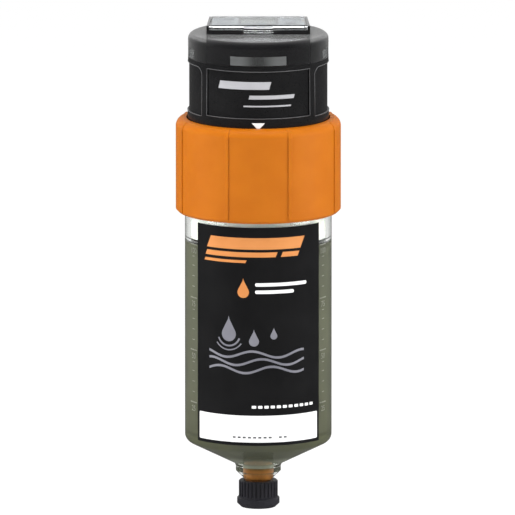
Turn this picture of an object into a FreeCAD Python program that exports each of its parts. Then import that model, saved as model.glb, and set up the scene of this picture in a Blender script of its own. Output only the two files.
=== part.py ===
import FreeCAD, Part
import math
import os
import Sketcher

# Automatic grease lubricator: a clear canister with a screw-driven piston, and an electric drive
# on top of it, held together by a bayonet ring. Millimetres, +Z up, front towards -Y.

doc = FreeCAD.newDocument("automatic_lubricator")
sheet = doc.addObject("Spreadsheet::Sheet", "Sizes")
vector = FreeCAD.Vector

# Every size of the part: its name, then its value or the formula that gives it.
SIZES = [
    # Outlet and its screw cap
    ("cap_floor", 2.35),
    ("cap_floor_gap", 0.15),
    ("outlet_tip_z", "=cap_floor + cap_floor_gap"),
    ("outlet_bore", 4.65),
    ("outlet_tip_chamfer", 0.7),
    ("thread_radius", 6.58),
    ("thread_length", 10.7),
    ("thread_end_z", "=outlet_tip_z + thread_length"),
    ("collar_width", 3.82),
    ("collar_radius", "=thread_radius + collar_width"),
    ("collar_flare_height", 3.8),
    ("collar_base_z", "=thread_end_z + collar_flare_height"),
    ("collar_height", 2.2),
    ("collar_top_z", "=collar_base_z + collar_height"),
    ("neck_width", 0.6),
    ("neck_radius", "=collar_radius + neck_width"),
    ("neck_height", 1.4),
    ("neck_z", "=collar_top_z + neck_height"),
    ("thread_clearance", 0.07),
    ("cap_wall", 2.35),
    ("cap_bore", "=thread_radius + thread_clearance"),
    ("cap_body_radius", "=cap_bore + cap_wall"),
    ("cap_foot_inset", 1.0),
    ("cap_foot_radius", "=cap_body_radius - cap_foot_inset"),
    ("cap_flange_width", 0.8),
    ("cap_flange_radius", "=cap_body_radius + cap_flange_width"),
    ("cap_flange_base_z", 1.7),
    ("cap_flange_height", 2.9),
    ("cap_flange_top_z", "=cap_flange_base_z + cap_flange_height"),
    ("cap_collar_gap", 0.8),
    ("cap_height", "=thread_end_z - cap_collar_gap"),
    ("cap_edge", 0.5),
    ("cap_groove_width", 0.7),
    ("cap_groove_depth", 0.35),
    ("cap_groove_count", 30),
    ("cap_groove_span", "=cap_groove_width / cap_body_radius * 180 / 3.14159265"),
    ("cap_groove_foot", 0.6),
    # Canister
    ("barrel_radius", 33.8),
    ("barrel_wall", 3.0),
    ("barrel_rim_z", 148.0),
    ("cone_angle", 26.7),
    ("cone_corner_radius", 3.8),
    ("barrel_bore", "=barrel_radius - barrel_wall"),
    ("cone_top_z", "=neck_z + (barrel_radius - neck_radius) * tan(cone_angle)"),
    ("cone_wall_rise", "=barrel_wall / cos(cone_angle)"),
    ("bore_cone_top_z", "=neck_z + cone_wall_rise + (barrel_bore - neck_radius) * tan(cone_angle)"),
    ("bore_cone_base_z", "=neck_z + cone_wall_rise - (neck_radius - outlet_bore) * tan(cone_angle)"),
    ("bore_corner_leg", 1.6),
    ("bore_corner_run", "=bore_corner_leg * cos(cone_angle)"),
    ("bore_corner_drop", "=bore_corner_leg * sin(cone_angle)"),
    ("lug_drop", 5.0),
    ("lug_height", 3.0),
    ("lug_span", 34.0),
    ("lug_count", 4),
    ("lug_z", "=barrel_rim_z - lug_drop"),
    ("lug_top_z", "=lug_z + lug_height"),
    ("guide_pad_width", 5.0),
    ("guide_half_width", "=guide_pad_width / 2"),
    ("guide_pad_rise", 0.15),
    ("rim_collar_length", 11.2),
    ("rim_collar_rise", 0.2),
    ("rim_collar_taper", 0.8),
    ("rim_collar_z", "=barrel_rim_z - rim_collar_length"),
    ("rim_collar_radius", "=barrel_radius + rim_collar_rise"),
    ("guide_pad_count", 6),
    ("guide_pad_length", 5.8),
    ("guide_pad_z", "=lug_z - guide_pad_length"),
    ("guide_pad_radius", "=rim_collar_radius + guide_pad_rise"),
    ("label_cone_gap", 2.53),
    ("label_base_z", "=cone_top_z + label_cone_gap"),
    ("label_collar_gap", 0.4),
    ("label_top_z", "=rim_collar_z - label_collar_gap"),
    ("label_thickness", 0.2),
    ("label_glue", 0.02),
    ("label_inner_radius", "=barrel_radius + label_glue"),
    ("label_span", 110.0),
    ("label_radius", "=barrel_radius + label_thickness"),
    # Grease, piston and spindle
    ("grease_clearance", 0.05),
    ("grease_radius", "=barrel_bore - grease_clearance"),
    ("grease_bore_radius", "=outlet_bore - grease_clearance"),
    ("grease_cone_top_z", "=bore_cone_top_z + grease_clearance"),
    ("grease_cone_base_z", "=bore_cone_base_z + grease_clearance"),
    ("grease_spindle_gap", 0.3),
    ("piston_drop", 22.4),
    ("piston_z", "=barrel_rim_z - piston_drop"),
    ("grease_top_z", "=piston_z - grease_clearance"),
    ("piston_clearance", 0.3),
    ("piston_radius", "=barrel_bore - piston_clearance"),
    ("seal_clearance", 0.03),
    ("seal_radius", "=barrel_bore - seal_clearance"),
    ("seal_height", 2.1),
    ("seal_depth", 3.0),
    ("seal_lip", 0.9),
    ("seal_seat_radius", "=seal_radius - seal_depth"),
    ("seal_top_z", "=piston_z + seal_height"),
    ("seal_lip_radius", "=seal_radius - seal_lip"),
    ("seal_lip_z", "=piston_z + seal_lip"),
    ("piston_floor", 4.0),
    ("piston_floor_z", "=piston_z + piston_floor"),
    ("piston_skirt", 14.6),
    ("piston_skirt_z", "=piston_z + piston_skirt"),
    ("piston_wall", 2.0),
    ("piston_skirt_bore", "=piston_radius - piston_wall"),
    ("piston_hub_radius", 8.6),
    ("piston_hub", 18.4),
    ("piston_hub_z", "=piston_z + piston_hub"),
    ("piston_web", 1.6),
    ("web_half_width", "=piston_web / 2"),
    ("piston_web_count", 6),
    ("piston_web_height", 8.0),
    ("spindle_radius", 5.0),
    ("spindle_clearance", 0.15),
    ("piston_bore", "=spindle_radius + spindle_clearance"),
    ("spindle_cone_gap", 3.93),
    ("spindle_tip_z", "=cone_top_z + spindle_cone_gap"),
    ("spindle_chamfer", 1.0),
    ("spindle_collar_radius", 7.6),
    ("spindle_collar_height", 1.7),
    ("spindle_hex_width", 8.0),
    ("spindle_hex_radius", "=spindle_hex_width / sqrt(3)"),
    ("hex_clearance", 0.1),
    ("hex_roof", 1.5),
    ("running_gap", 0.1),
    # Drive base, output and gear levels
    ("rim_clearance", 0.1),
    ("gasket_thickness", 1.2),
    ("base_thickness", 2.5),
    ("base_z", "=barrel_rim_z + gasket_thickness"),
    ("base_top_z", "=base_z + base_thickness"),
    ("base_radius", "=rim_collar_radius"),
    ("output_hub_radius", 6.4),
    ("output_bearing_clearance", 0.08),
    ("bush_bore", "=output_hub_radius + output_bearing_clearance"),
    ("bush_wall", 1.52),
    ("bush_radius", "=bush_bore + bush_wall"),
    ("gear_module", 0.5),
    ("output_teeth", 44),
    ("wheel_teeth", 32),
    ("second_pinion_teeth", 12),
    ("first_pinion_teeth", 10),
    ("motor_pinion_teeth", 10),
    ("wheel_addendum", 0.65),
    ("tooth_backlash", 0.1),
    ("output_face", 5.0),
    ("second_face", 4.0),
    ("first_face", 3.0),
    ("level_gap", 0.8),
    ("washer_height", 1.5),
    ("level_one_z", "=base_top_z + washer_height"),
    ("level_two_z", "=level_one_z + output_face + level_gap"),
    ("level_three_z", "=level_two_z + second_face + level_gap"),
    ("top_plate_gap", 1.2),
    ("top_plate_z", "=level_three_z + first_face + top_plate_gap"),
    ("top_plate_thickness", 2.0),
    ("top_plate_top_z", "=top_plate_z + top_plate_thickness"),
    ("top_plate_wall_gap", 2.8),
    ("top_plate_radius", "=housing_bore - top_plate_wall_gap"),
    ("top_plate_back_y", 5.0),
    ("output_centres", "=gear_module * (output_teeth + second_pinion_teeth) / 2"),
    ("second_centres", "=gear_module * (wheel_teeth + first_pinion_teeth) / 2"),
    ("motor_centres", "=gear_module * (wheel_teeth + motor_pinion_teeth) / 2"),
    ("second_gear_angle", -50.0),
    ("first_gear_angle", 196.0),
    ("motor_angle", 199.5),
    ("second_x", "=output_centres * cos(second_gear_angle)"),
    ("second_y", "=output_centres * sin(second_gear_angle)"),
    ("first_x", "=second_x + second_centres * cos(first_gear_angle)"),
    ("first_y", "=second_y + second_centres * sin(first_gear_angle)"),
    ("motor_x", "=first_x + motor_centres * cos(motor_angle)"),
    ("motor_y", "=first_y + motor_centres * sin(motor_angle)"),
    ("axle_radius", 1.0),
    ("axle_clearance", 0.08),
    ("axle_depth", 1.5),
    ("gear_hub_radius", 1.7),
    ("output_journal_radius", 3.0),
    ("pillar_radius", 2.3),
    ("pillar_one_x", 2.0),
    ("pillar_inset", 2.5),
    ("pillar_one_y", "=pillar_inset - top_plate_radius"),
    ("pillar_side_inset", 6.9),
    ("pillar_side_x", "=top_plate_radius - pillar_side_inset"),
    ("pillar_side_y", -2.0),
    ("screw_radius", 1.0),
    ("screw_length", 9.0),
    ("screw_head_radius", 2.1),
    ("screw_head_height", 1.5),
    # Motor
    ("motor_radius", 7.75),
    ("motor_length", 25.0),
    ("motor_boss_radius", 3.0),
    ("motor_end_radius", 4.0),
    ("motor_end_height", 1.2),
    ("motor_edge", 0.6),
    ("shaft_radius", 1.0),
    ("shaft_clearance", 0.05),
    ("shaft_depth", 6.0),
    # Drive housing
    ("housing_wall", 2.0),
    ("skirt_bore", "=rim_collar_radius + rim_clearance"),
    ("skirt_radius", "=skirt_bore + housing_wall"),
    ("shoulder_width", 3.5),
    ("housing_radius", "=skirt_radius - shoulder_width"),
    ("housing_draft", 0.3),
    ("housing_top_radius", "=housing_radius - housing_draft"),
    ("housing_bore", "=housing_top_radius - housing_wall"),
    ("lug_clearance", 0.3),
    ("skirt_bottom_z", "=lug_top_z + lug_clearance"),
    ("lug_side_gap", 0.1),
    ("lug_radius", "=skirt_radius - lug_side_gap"),
    ("skirt_height", 32.1),
    ("shoulder_z", "=skirt_bottom_z + skirt_height"),
    ("skirt_ceiling_z", "=shoulder_z - housing_wall"),
    ("seat_rib_height", 2.0),
    ("seat_rib_depth", 1.6),
    ("seat_rib_radius", "=skirt_bore - seat_rib_depth"),
    ("seat_rib_z", "=base_top_z + seat_rib_height"),
    ("seam_tray_gap", 4.8),
    ("seam_z", "=tray_top_z + seam_tray_gap"),
    ("front_panel_rise", 8.4),
    ("front_panel_z", "=shoulder_z + front_panel_rise"),
    ("side_panel_rise", 7.6),
    ("side_panel_z", "=shoulder_z + side_panel_rise"),
    ("panel_seam_gap", 2.4),
    ("panel_top_z", "=seam_z - panel_seam_gap"),
    ("panel_depth", 0.5),
    ("panel_radius", "=housing_top_radius - panel_depth"),
    ("front_panel_span", 93.6),
    ("side_panel_span", 74.0),
    ("side_panel_corner", 4.0),
    # Retaining ring
    ("ring_clearance", 0.3),
    ("ring_wall", 1.6),
    ("ring_bore", "=skirt_radius + ring_clearance"),
    ("ring_radius", "=ring_bore + ring_wall"),
    ("lip_height", 4.1),
    ("ring_bottom_z", "=lip_top_z - lip_height"),
    ("ring_foot_chamfer", 1.2),
    ("lip_clearance", 0.5),
    ("lip_bore", "=barrel_radius + lip_clearance"),
    ("lip_gap", 0.2),
    ("lip_top_z", "=lug_z - lip_gap"),
    ("ring_rest_gap", 0.1),
    ("ring_rest_z", "=shoulder_z + ring_rest_gap"),
    ("ring_roof", 3.9),
    ("ring_top_z", "=ring_rest_z + ring_roof"),
    ("ring_collar_bore", "=housing_radius + lip_clearance"),
    ("ring_shoulder_radius", 4.0),
    ("ring_rib_count", 8),
    ("ring_rib_width", 1.8),
    ("ring_rib_rise", 0.45),
    ("ring_rib_span", "=ring_rib_width / ring_radius * 180 / 3.14159265"),
    ("ring_rib_base_z", "=ring_bottom_z + ring_foot_chamfer"),
    ("notch_span", 42.0),
    ("notch_clearance", 0.15),
    ("notch_radius", "=lug_radius + notch_clearance"),
    # Battery tray and cells
    ("cell_radius", 7.25),
    ("cell_length", 49.5),
    ("cell_nub_radius", 2.7),
    ("cell_nub_height", 1.0),
    ("cell_wall_gap", 0.65),
    ("cell_circle", "=tray_wall_bore - cell_wall_gap - cell_radius"),
    ("cell_gap", 2.58),
    ("cell_pitch", "=2 * cell_radius + cell_gap"),
    ("cell_spacing", "=2 * asin(cell_pitch / 2 / cell_circle) / 1 deg"),
    ("cell_side_x", "=cell_circle * sin(cell_spacing)"),
    ("cell_side_y", "=cell_circle * cos(cell_spacing)"),
    ("cell_clearance", 0.15),
    ("tray_overhang", 27.0),
    ("tray_span", "=2 * (cell_spacing + tray_overhang)"),
    ("tray_width", 17.7),
    ("tray_inner", "=tray_radius - tray_width"),
    ("tray_floor", 1.5),
    ("tray_wall", 1.2),
    ("tray_clearance", 0.2),
    ("tray_radius", "=housing_bore - tray_clearance"),
    ("tray_wall_bore", "=tray_radius - tray_wall"),
    ("tray_floor_z", "=base_top_z + tray_floor"),
    ("contact_thickness", 0.5),
    ("contact_width", 8.0),
    ("contact_half_width", "=contact_width / 2"),
    ("cell_z", "=tray_floor_z + contact_thickness"),
    ("cell_top_z", "=cell_z + cell_length + cell_nub_height"),
    ("tray_cap_z", "=cell_top_z + contact_thickness"),
    ("tray_cap", 1.5),
    ("tray_top_z", "=tray_cap_z + tray_cap"),
    ("tray_mid_rise", 27.8),
    ("tray_mid_z", "=tray_floor_z + tray_mid_rise"),
    ("post_radius", 2.4),
    ("post_inset", 7.6),
    ("post_circle", "=tray_radius - post_inset"),
    ("post_overhang", 16.0),
    ("post_spacing", "=cell_spacing + post_overhang"),
    ("post_root", 1.0),
    ("post_side_x", "=post_circle * sin(post_spacing)"),
    ("post_side_y", "=post_circle * cos(post_spacing)"),
    # Circuit board and what it carries
    ("board_seam_gap", 3.8),
    ("board_z", "=seam_z + board_seam_gap"),
    ("board_thickness", 1.6),
    ("board_top_z", "=board_z + board_thickness"),
    ("board_side_gap", 0.55),
    ("board_radius", "=guide_bore - board_side_gap"),
    ("board_screw_length", 7.4),
    ("lcd_width", 18.0),
    ("lcd_half_width", "=lcd_width / 2"),
    ("lcd_depth", 17.0),
    ("lcd_y", -3.6),
    ("lcd_drop", 0.25),
    ("lcd_clearance", 0.15),
    ("led_width", 2.0),
    ("led_half_width", "=led_width / 2"),
    ("led_depth", 1.4),
    ("led_height", 1.0),
    ("led_inset", 0.4),
    ("led_circle", "=board_radius - led_inset"),
    ("switch_width", 6.0),
    ("switch_half_width", "=switch_width / 2"),
    ("switch_height", 1.2),
    ("switch_bore", 1.75),
    ("switch_well", 0.6),
    ("button_x", 15.3),
    ("button_y", 5.0),
    ("button_radius", 2.6),
    ("button_stem_radius", 1.6),
    ("button_flange_radius", 3.8),
    ("button_flange", 0.8),
    ("button_travel", 0.4),
    ("button_clearance", 0.2),
    ("button_drop", 0.5),
    # Top cover
    ("cover_height", 10.7),
    ("cover_top_z", "=seam_z + cover_height"),
    ("cover_wall", 2.8),
    ("cover_edge", 2.6),
    ("cover_bore", "=housing_top_radius - cover_wall"),
    ("cover_ceiling_z", "=cover_top_z - cover_wall"),
    ("spigot_clearance", 0.12),
    ("spigot_wall", 1.35),
    ("spigot_depth", 2.4),
    ("spigot_shelf", 1.0),
    ("spigot_radius", "=housing_bore - spigot_clearance"),
    ("spigot_bore", "=spigot_radius - spigot_wall"),
    ("spigot_z", "=seam_z - spigot_depth"),
    ("spigot_shelf_z", "=seam_z + spigot_shelf"),
    ("window_rise", 0.4),
    ("window_height", 4.3),
    ("window_span", 46.8),
    ("window_z", "=seam_z + window_rise"),
    ("window_top_z", "=window_z + window_height"),
    ("guide_clearance", 0.05),
    ("guide_wall", 1.2),
    ("guide_radius", "=cover_bore - guide_clearance"),
    ("guide_bore", "=guide_radius - guide_wall"),
    ("guide_pad_span", 46.4),
    # Bezel, display panel and lid
    ("bezel_half_width", 23.8),
    ("bezel_rise", 0.4),
    ("bezel_radius", "=housing_top_radius + bezel_rise"),
    ("bezel_thickness", 1.6),
    ("bezel_top_z", "=cover_top_z + bezel_rise"),
    ("bezel_edge", 3.2),
    ("bezel_gap", 0.05),
    ("bed_radius", "=bezel_radius - bezel_thickness"),
    ("bed_z", "=bezel_top_z - bezel_thickness"),
    ("frame_front_y", -8.5),
    ("frame_back_y", 17.4),
    ("frame_taper", 1.3),
    ("frame_wall", 1.1),
    ("wall_overlap", "=frame_wall / 2"),
    ("frame_front_height", 2.1),
    ("frame_front_z", "=bezel_top_z + frame_front_height"),
    ("rail_height", 4.0),
    ("rail_top_z", "=bezel_top_z + rail_height"),
    ("back_wall_height", 0.9),
    ("back_wall_z", "=bezel_top_z + back_wall_height"),
    ("panel_gap", 0.15),
    ("panel_thickness", 2.0),
    ("panel_back_gap", 3.2),
    ("panel_back_y", "=frame_back_y - panel_back_gap"),
    ("panel_side_gap", 2.5),
    ("panel_half_width", "=bezel_half_width - panel_side_gap"),
    ("pocket_width", 9.4),
    ("pocket_length", 16.0),
    ("pocket_depth", 0.8),
    ("pocket_corner", 1.5),
    ("pocket_side_gap", 0.9),
    ("left_pocket_x", "=pocket_side_gap - panel_half_width"),
    ("lcd_pocket_gap", 1.6),
    ("right_pocket_x", "=lcd_half_width + lcd_pocket_gap"),
    ("pocket_front_gap", 4.25),
    ("pocket_y", "=frame_front_y + frame_wall + panel_gap + pocket_front_gap"),
    ("lid_gap", 0.15),
    ("lid_seat_gap", 0.1),
    ("lid_z", "=frame_front_z + lid_seat_gap"),
    ("lid_thickness", 2.2),
    ("lid_edge", 0.4),
    ("tab_width", 13.5),
    ("tab_half_width", "=tab_width / 2"),
    ("tab_reach", 3.6),
    ("tab_drop", 0.9),
    ("tab_thickness", 1.7),
    ("pin_radius", 0.8),
    ("pin_clearance", 0.1),
    ("knuckle_radius", 1.5),
    ("pin_y", "=frame_back_y - knuckle_radius"),
    ("knuckle_z", "=lid_z + lid_thickness - knuckle_radius"),
    ("pin_end_inset", 0.1),
    ("pin_half_length", "=bezel_half_width - frame_taper - pin_end_inset"),
    ("knuckle_half_length", "=bezel_half_width - frame_taper - frame_wall - lid_gap"),
]

for row, (name, value) in enumerate(SIZES, start=1):
    sheet.set("A%d" % row, name)
    sheet.set("B%d" % row, str(value))
    sheet.setAlias("B%d" % row, name)
doc.recompute()


def size(name):
    """The value of one named size."""
    return float(sheet.get(name))


def number(text):
    """The value of a sum or difference of named sizes and plain numbers."""
    total, sign = 0.0, 1.0
    for word in text.split():
        if word == "+":
            sign = 1.0
        elif word == "-":
            sign = -1.0
        else:
            total += sign * (float(word) if word[0].isdigit() else size(word))
    return total


def formula(text):
    """The same sum as an expression that FreeCAD keeps tied to the sheet."""
    words = []
    for word in text.split():
        words.append(word if word in "+-" or word[0].isdigit() else "Sizes." + word)
    return " ".join(words)


def tie(item, prop, text):
    """Binds a property to the sheet."""
    item.setExpression(prop, formula(text))


# Bodies from sketches

def new_body(name):
    body = doc.addObject("PartDesign::Body", name)
    body.Label = name
    return body


def datum(body, role):
    for item in body.Origin.OriginFeatures:
        if item.Role == role:
            return item
    raise ValueError("no origin feature " + role)


def outline(body, role, points, name, lift="0", turn=0.0):
    """A closed sketch of straight lines, each corner tied to the sheet."""
    sketch = body.newObject("Sketcher::SketchObject", name)
    sketch.AttachmentSupport = (datum(body, role), [""])
    sketch.MapMode = "FlatFace"
    spin = vector(0, 1, 0) if role == "XZ_Plane" else vector(0, 0, 1)
    offset = vector(0, 0, number(lift))
    sketch.AttachmentOffset = FreeCAD.Placement(offset, FreeCAD.Rotation(spin, turn))
    if lift != "0":
        tie(sketch, "AttachmentOffset.Base.z", lift)
    places = [(number(across), number(up)) for across, up in points]
    count = len(points)
    for i in range(count):
        first, second = places[i], places[(i + 1) % count]
        line = Part.LineSegment(vector(first[0], first[1], 0), vector(second[0], second[1], 0))
        sketch.addGeometry(line, False)
    for i in range(count):
        sketch.addConstraint(Sketcher.Constraint("Coincident", i, 2, (i + 1) % count, 1))
    for i, (across, up) in enumerate(points):
        for kind, text, value, axis in (
            ("DistanceX", across, places[i][0], -2),
            ("DistanceY", up, places[i][1], -1),
        ):
            if text == "0":
                sketch.addConstraint(Sketcher.Constraint("PointOnObject", i, 1, axis))
                continue
            index = sketch.addConstraint(Sketcher.Constraint(kind, -1, 1, i, 1, value))
            label = ("across_%d" if kind == "DistanceX" else "up_%d") % i
            sketch.renameConstraint(index, label)
            sketch.setExpression("Constraints." + label, formula(text))
    doc.recompute()
    return sketch


def revolved(body, points, name, kind="Revolution", span=None, turn=0.0):
    """A turned feature about the body's own Z axis, whole or as a sector around an azimuth."""
    sketch = outline(body, "XZ_Plane", points, name + "_profile", turn=turn)
    feature = body.newObject("PartDesign::" + kind, name)
    feature.Profile = sketch
    feature.ReferenceAxis = (sketch, ["V_Axis"])
    if span:
        feature.Midplane = True
        tie(feature, "Angle", span)
    else:
        feature.Angle = 360
    doc.recompute()
    return feature


def padded(body, points, name, height, lift="0", turn=0.0, kind="Pad"):
    sketch = outline(body, "XY_Plane", points, name + "_outline", lift=lift, turn=turn)
    feature = body.newObject("PartDesign::" + kind, name)
    feature.Profile = sketch
    tie(feature, "Length", height)
    doc.recompute()
    return feature


def patterned(body, feature, count, name):
    """Repeats a feature evenly around the body's Z axis."""
    pattern = body.newObject("PartDesign::PolarPattern", name)
    pattern.Originals = [feature]
    pattern.Axis = (datum(body, "Z_Axis"), [""])
    pattern.Angle = 360
    tie(pattern, "Occurrences", count)
    body.Tip = pattern
    doc.recompute()
    return pattern


def circles_at(shape, radius, height):
    """Names of the circular edges of this radius at this height."""
    found = []
    for i, edge in enumerate(shape.Edges, start=1):
        if not isinstance(edge.Curve, Part.Circle):
            continue
        middle = edge.Curve.Center
        if abs(edge.Curve.Radius - radius) < 1e-4 and abs(middle.z - height) < 1e-4:
            found.append("Edge%d" % i)
    if not found:
        raise ValueError("no circular edge at radius %g, height %g" % (radius, height))
    return found


def rounded(body, base, radius, height, amount, name):
    """Fillets the circular edge that a turned profile leaves at this radius and height."""
    fillet = body.newObject("PartDesign::Fillet", name)
    fillet.Base = (base, circles_at(base.Shape, number(radius), number(height)))
    tie(fillet, "Radius", amount)
    doc.recompute()
    return fillet


def turned(name, points, span=None, turn=0.0):
    body = new_body(name)
    revolved(body, points, name + "_turning", span=span, turn=turn)
    return body


# Solids from primitives

def box(name, x, y, z, length, width, height):
    item = doc.addObject("Part::Box", name)
    for prop, text in (
        ("Length", length), ("Width", width), ("Height", height),
        ("Placement.Base.x", x), ("Placement.Base.y", y), ("Placement.Base.z", z),
    ):
        tie(item, prop, text)
    return item


def cylinder(name, radius, z, height, x="0", y="0"):
    item = doc.addObject("Part::Cylinder", name)
    for prop, text in (
        ("Radius", radius), ("Height", height),
        ("Placement.Base.x", x), ("Placement.Base.y", y), ("Placement.Base.z", z),
    ):
        tie(item, prop, text)
    return item


def cut(name, base, *tools):
    item = doc.addObject("Part::Cut", name)
    item.Base = base
    item.Tool = tools[0] if len(tools) == 1 else fuse(name + "_tools", *tools)
    return item


def fuse(name, *items):
    item = doc.addObject("Part::MultiFuse", name)
    item.Shapes = list(items)
    return item


def common(name, base, tool):
    item = doc.addObject("Part::Common", name)
    item.Base = base
    item.Tool = tool
    return item


def group(name, *items):
    item = doc.addObject("Part::Compound", name)
    item.Links = list(items)
    return item


def sector(name, inner, outer, z, height, azimuth, span):
    """Part of a thick tube, as wide as span degrees and centred on an azimuth."""
    body = new_body(name)
    top = z + " + " + height
    points = [(inner, z), (outer, z), (outer, top), (inner, top)]
    revolved(body, points, name + "_sweep", span=span, turn=azimuth)
    return body


def set_of_screws(name, places, z, length):
    """Pan-head screws with the head's underside at z."""
    screws = []
    for i, (x, y) in enumerate(places, start=1):
        head = cylinder("%s_head_%d" % (name, i), "screw_head_radius", z, "screw_head_height", x, y)
        start = z + " - " + length
        shank = cylinder("%s_shank_%d" % (name, i), "screw_radius", start, length, x, y)
        screws.append(fuse("%s_%d" % (name, i), head, shank))
    return group(name, *screws)


NODES = {}

# Canister: threaded outlet, collar, cone and barrel turned in one, then the bayonet lugs and guide pads

canister = new_body("canister")
canister_turning = revolved(
    canister,
    [
        ("outlet_bore", "outlet_tip_z"),
        ("thread_radius - outlet_tip_chamfer", "outlet_tip_z"),
        ("thread_radius", "outlet_tip_z + outlet_tip_chamfer"),
        ("thread_radius", "thread_end_z"),
        ("collar_radius", "collar_base_z"),
        ("collar_radius", "collar_top_z"),
        ("neck_radius", "neck_z"),
        ("barrel_radius", "cone_top_z"),
        ("barrel_radius", "rim_collar_z"),
        ("rim_collar_radius", "rim_collar_z + rim_collar_taper"),
        ("rim_collar_radius", "barrel_rim_z"),
        ("barrel_bore", "barrel_rim_z"),
        ("barrel_bore", "bore_cone_top_z + bore_corner_leg"),
        ("barrel_bore - bore_corner_run", "bore_cone_top_z - bore_corner_drop"),
        ("outlet_bore", "bore_cone_base_z"),
    ],
    "canister_turning",
)
rounded(canister, canister_turning, "barrel_radius", "cone_top_z", "cone_corner_radius", "canister_corner")
canister_lug = revolved(
    canister,
    [
        ("barrel_radius - barrel_wall + 1", "lug_z"),
        ("lug_radius", "lug_z"),
        ("lug_radius", "lug_top_z"),
        ("barrel_radius - barrel_wall + 1", "lug_top_z"),
    ],
    "canister_lug",
    span="lug_span",
    turn=45,
)
patterned(canister, canister_lug, "lug_count", "canister_lugs")
canister_guide = padded(
    canister,
    [
        ("barrel_radius - 1", "0 - guide_half_width"),
        ("guide_pad_radius", "0 - guide_half_width"),
        ("guide_pad_radius", "guide_half_width"),
        ("barrel_radius - 1", "guide_half_width"),
    ],
    "canister_guide",
    "guide_pad_length - 1",
    lift="guide_pad_z",
    turn=0,
)
patterned(canister, canister_guide, "guide_pad_count", "canister_guides")
NODES["canister"] = canister

# The label is a thin printed sheet around the front of the barrel

NODES["canister_label"] = turned(
    "canister_label",
    [
        ("label_inner_radius", "label_base_z"),
        ("label_radius", "label_base_z"),
        ("label_radius", "label_top_z"),
        ("label_inner_radius", "label_top_z"),
    ],
    span="label_span",
    turn=-90,
)
NODES["canister_gasket"] = turned(
    "canister_gasket",
    [
        ("barrel_bore + 0.2", "barrel_rim_z"),
        ("barrel_radius - 0.2", "barrel_rim_z"),
        ("barrel_radius - 0.2", "base_z"),
        ("barrel_bore + 0.2", "base_z"),
    ],
)
grease_charge = new_body("grease_charge")
revolved(
    grease_charge,
    [
        ("0", "outlet_tip_z"),
        ("grease_bore_radius", "outlet_tip_z"),
        ("grease_bore_radius", "grease_cone_base_z"),
        ("grease_radius - bore_corner_run", "grease_cone_top_z - bore_corner_drop"),
        ("grease_radius", "grease_cone_top_z + bore_corner_leg"),
        ("grease_radius", "grease_top_z"),
        ("spindle_radius + grease_spindle_gap", "grease_top_z"),
        ("spindle_radius + grease_spindle_gap", "spindle_tip_z - grease_spindle_gap"),
        ("0", "spindle_tip_z - grease_spindle_gap"),
    ],
    "grease_turning",
)
NODES["grease_charge"] = grease_charge

# Outlet cap: a turned cup with a grip flange and fine grooves

outlet_plug = new_body("outlet_plug")
revolved(
    outlet_plug,
    [
        ("0", "0"),
        ("cap_foot_radius", "0"),
        ("cap_flange_radius", "cap_flange_base_z"),
        ("cap_flange_radius", "cap_flange_top_z - cap_edge"),
        ("cap_flange_radius - cap_edge", "cap_flange_top_z"),
        ("cap_body_radius", "cap_flange_top_z"),
        ("cap_body_radius", "cap_height - cap_edge"),
        ("cap_body_radius - cap_edge", "cap_height"),
        ("cap_bore", "cap_height"),
        ("cap_bore", "cap_floor"),
        ("0", "cap_floor"),
    ],
    "outlet_plug_turning",
)
cap_groove = revolved(
    outlet_plug,
    [
        ("cap_body_radius - cap_groove_depth", "cap_flange_top_z + cap_groove_foot"),
        ("cap_body_radius + 1", "cap_flange_top_z + cap_groove_foot"),
        ("cap_body_radius + 1", "cap_height + 1"),
        ("cap_body_radius - cap_groove_depth", "cap_height + 1"),
    ],
    "cap_groove",
    kind="Groove",
    span="cap_groove_span",
)
patterned(outlet_plug, cap_groove, "cap_groove_count", "cap_grooves")
NODES["outlet_plug"] = outlet_plug

# Piston: a cup with a nut hub, stiffened by radial webs, and its lip seal

piston = new_body("piston")
revolved(
    piston,
    [
        ("piston_bore", "piston_z"),
        ("seal_seat_radius", "piston_z"),
        ("seal_seat_radius", "seal_top_z"),
        ("piston_radius", "seal_top_z"),
        ("piston_radius", "piston_skirt_z"),
        ("piston_skirt_bore", "piston_skirt_z"),
        ("piston_skirt_bore", "piston_floor_z"),
        ("piston_hub_radius", "piston_floor_z"),
        ("piston_hub_radius", "piston_hub_z"),
        ("piston_bore", "piston_hub_z"),
    ],
    "piston_turning",
)
piston_web = padded(
    piston,
    [
        ("piston_hub_radius - 1", "0 - web_half_width"),
        ("piston_skirt_bore + 1", "0 - web_half_width"),
        ("piston_skirt_bore + 1", "web_half_width"),
        ("piston_hub_radius - 1", "web_half_width"),
    ],
    "piston_web",
    "piston_web_height + 1",
    lift="piston_floor_z - 1",
    turn=30,
)
patterned(piston, piston_web, "piston_web_count", "piston_webs")
NODES["piston"] = piston
NODES["piston_seal"] = turned(
    "piston_seal",
    [
        ("seal_seat_radius", "piston_z"),
        ("seal_radius", "piston_z"),
        ("seal_radius", "seal_lip_z"),
        ("seal_lip_radius + 0.35", "seal_lip_z + 0.25"),
        ("seal_lip_radius + 0.35", "seal_top_z - 0.3"),
        ("seal_radius - 0.1", "seal_top_z"),
        ("seal_seat_radius", "seal_top_z"),
    ],
)

# Spindle: the feed screw at its outside diameter, a thrust collar and the hexagon that the drive turns

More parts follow.
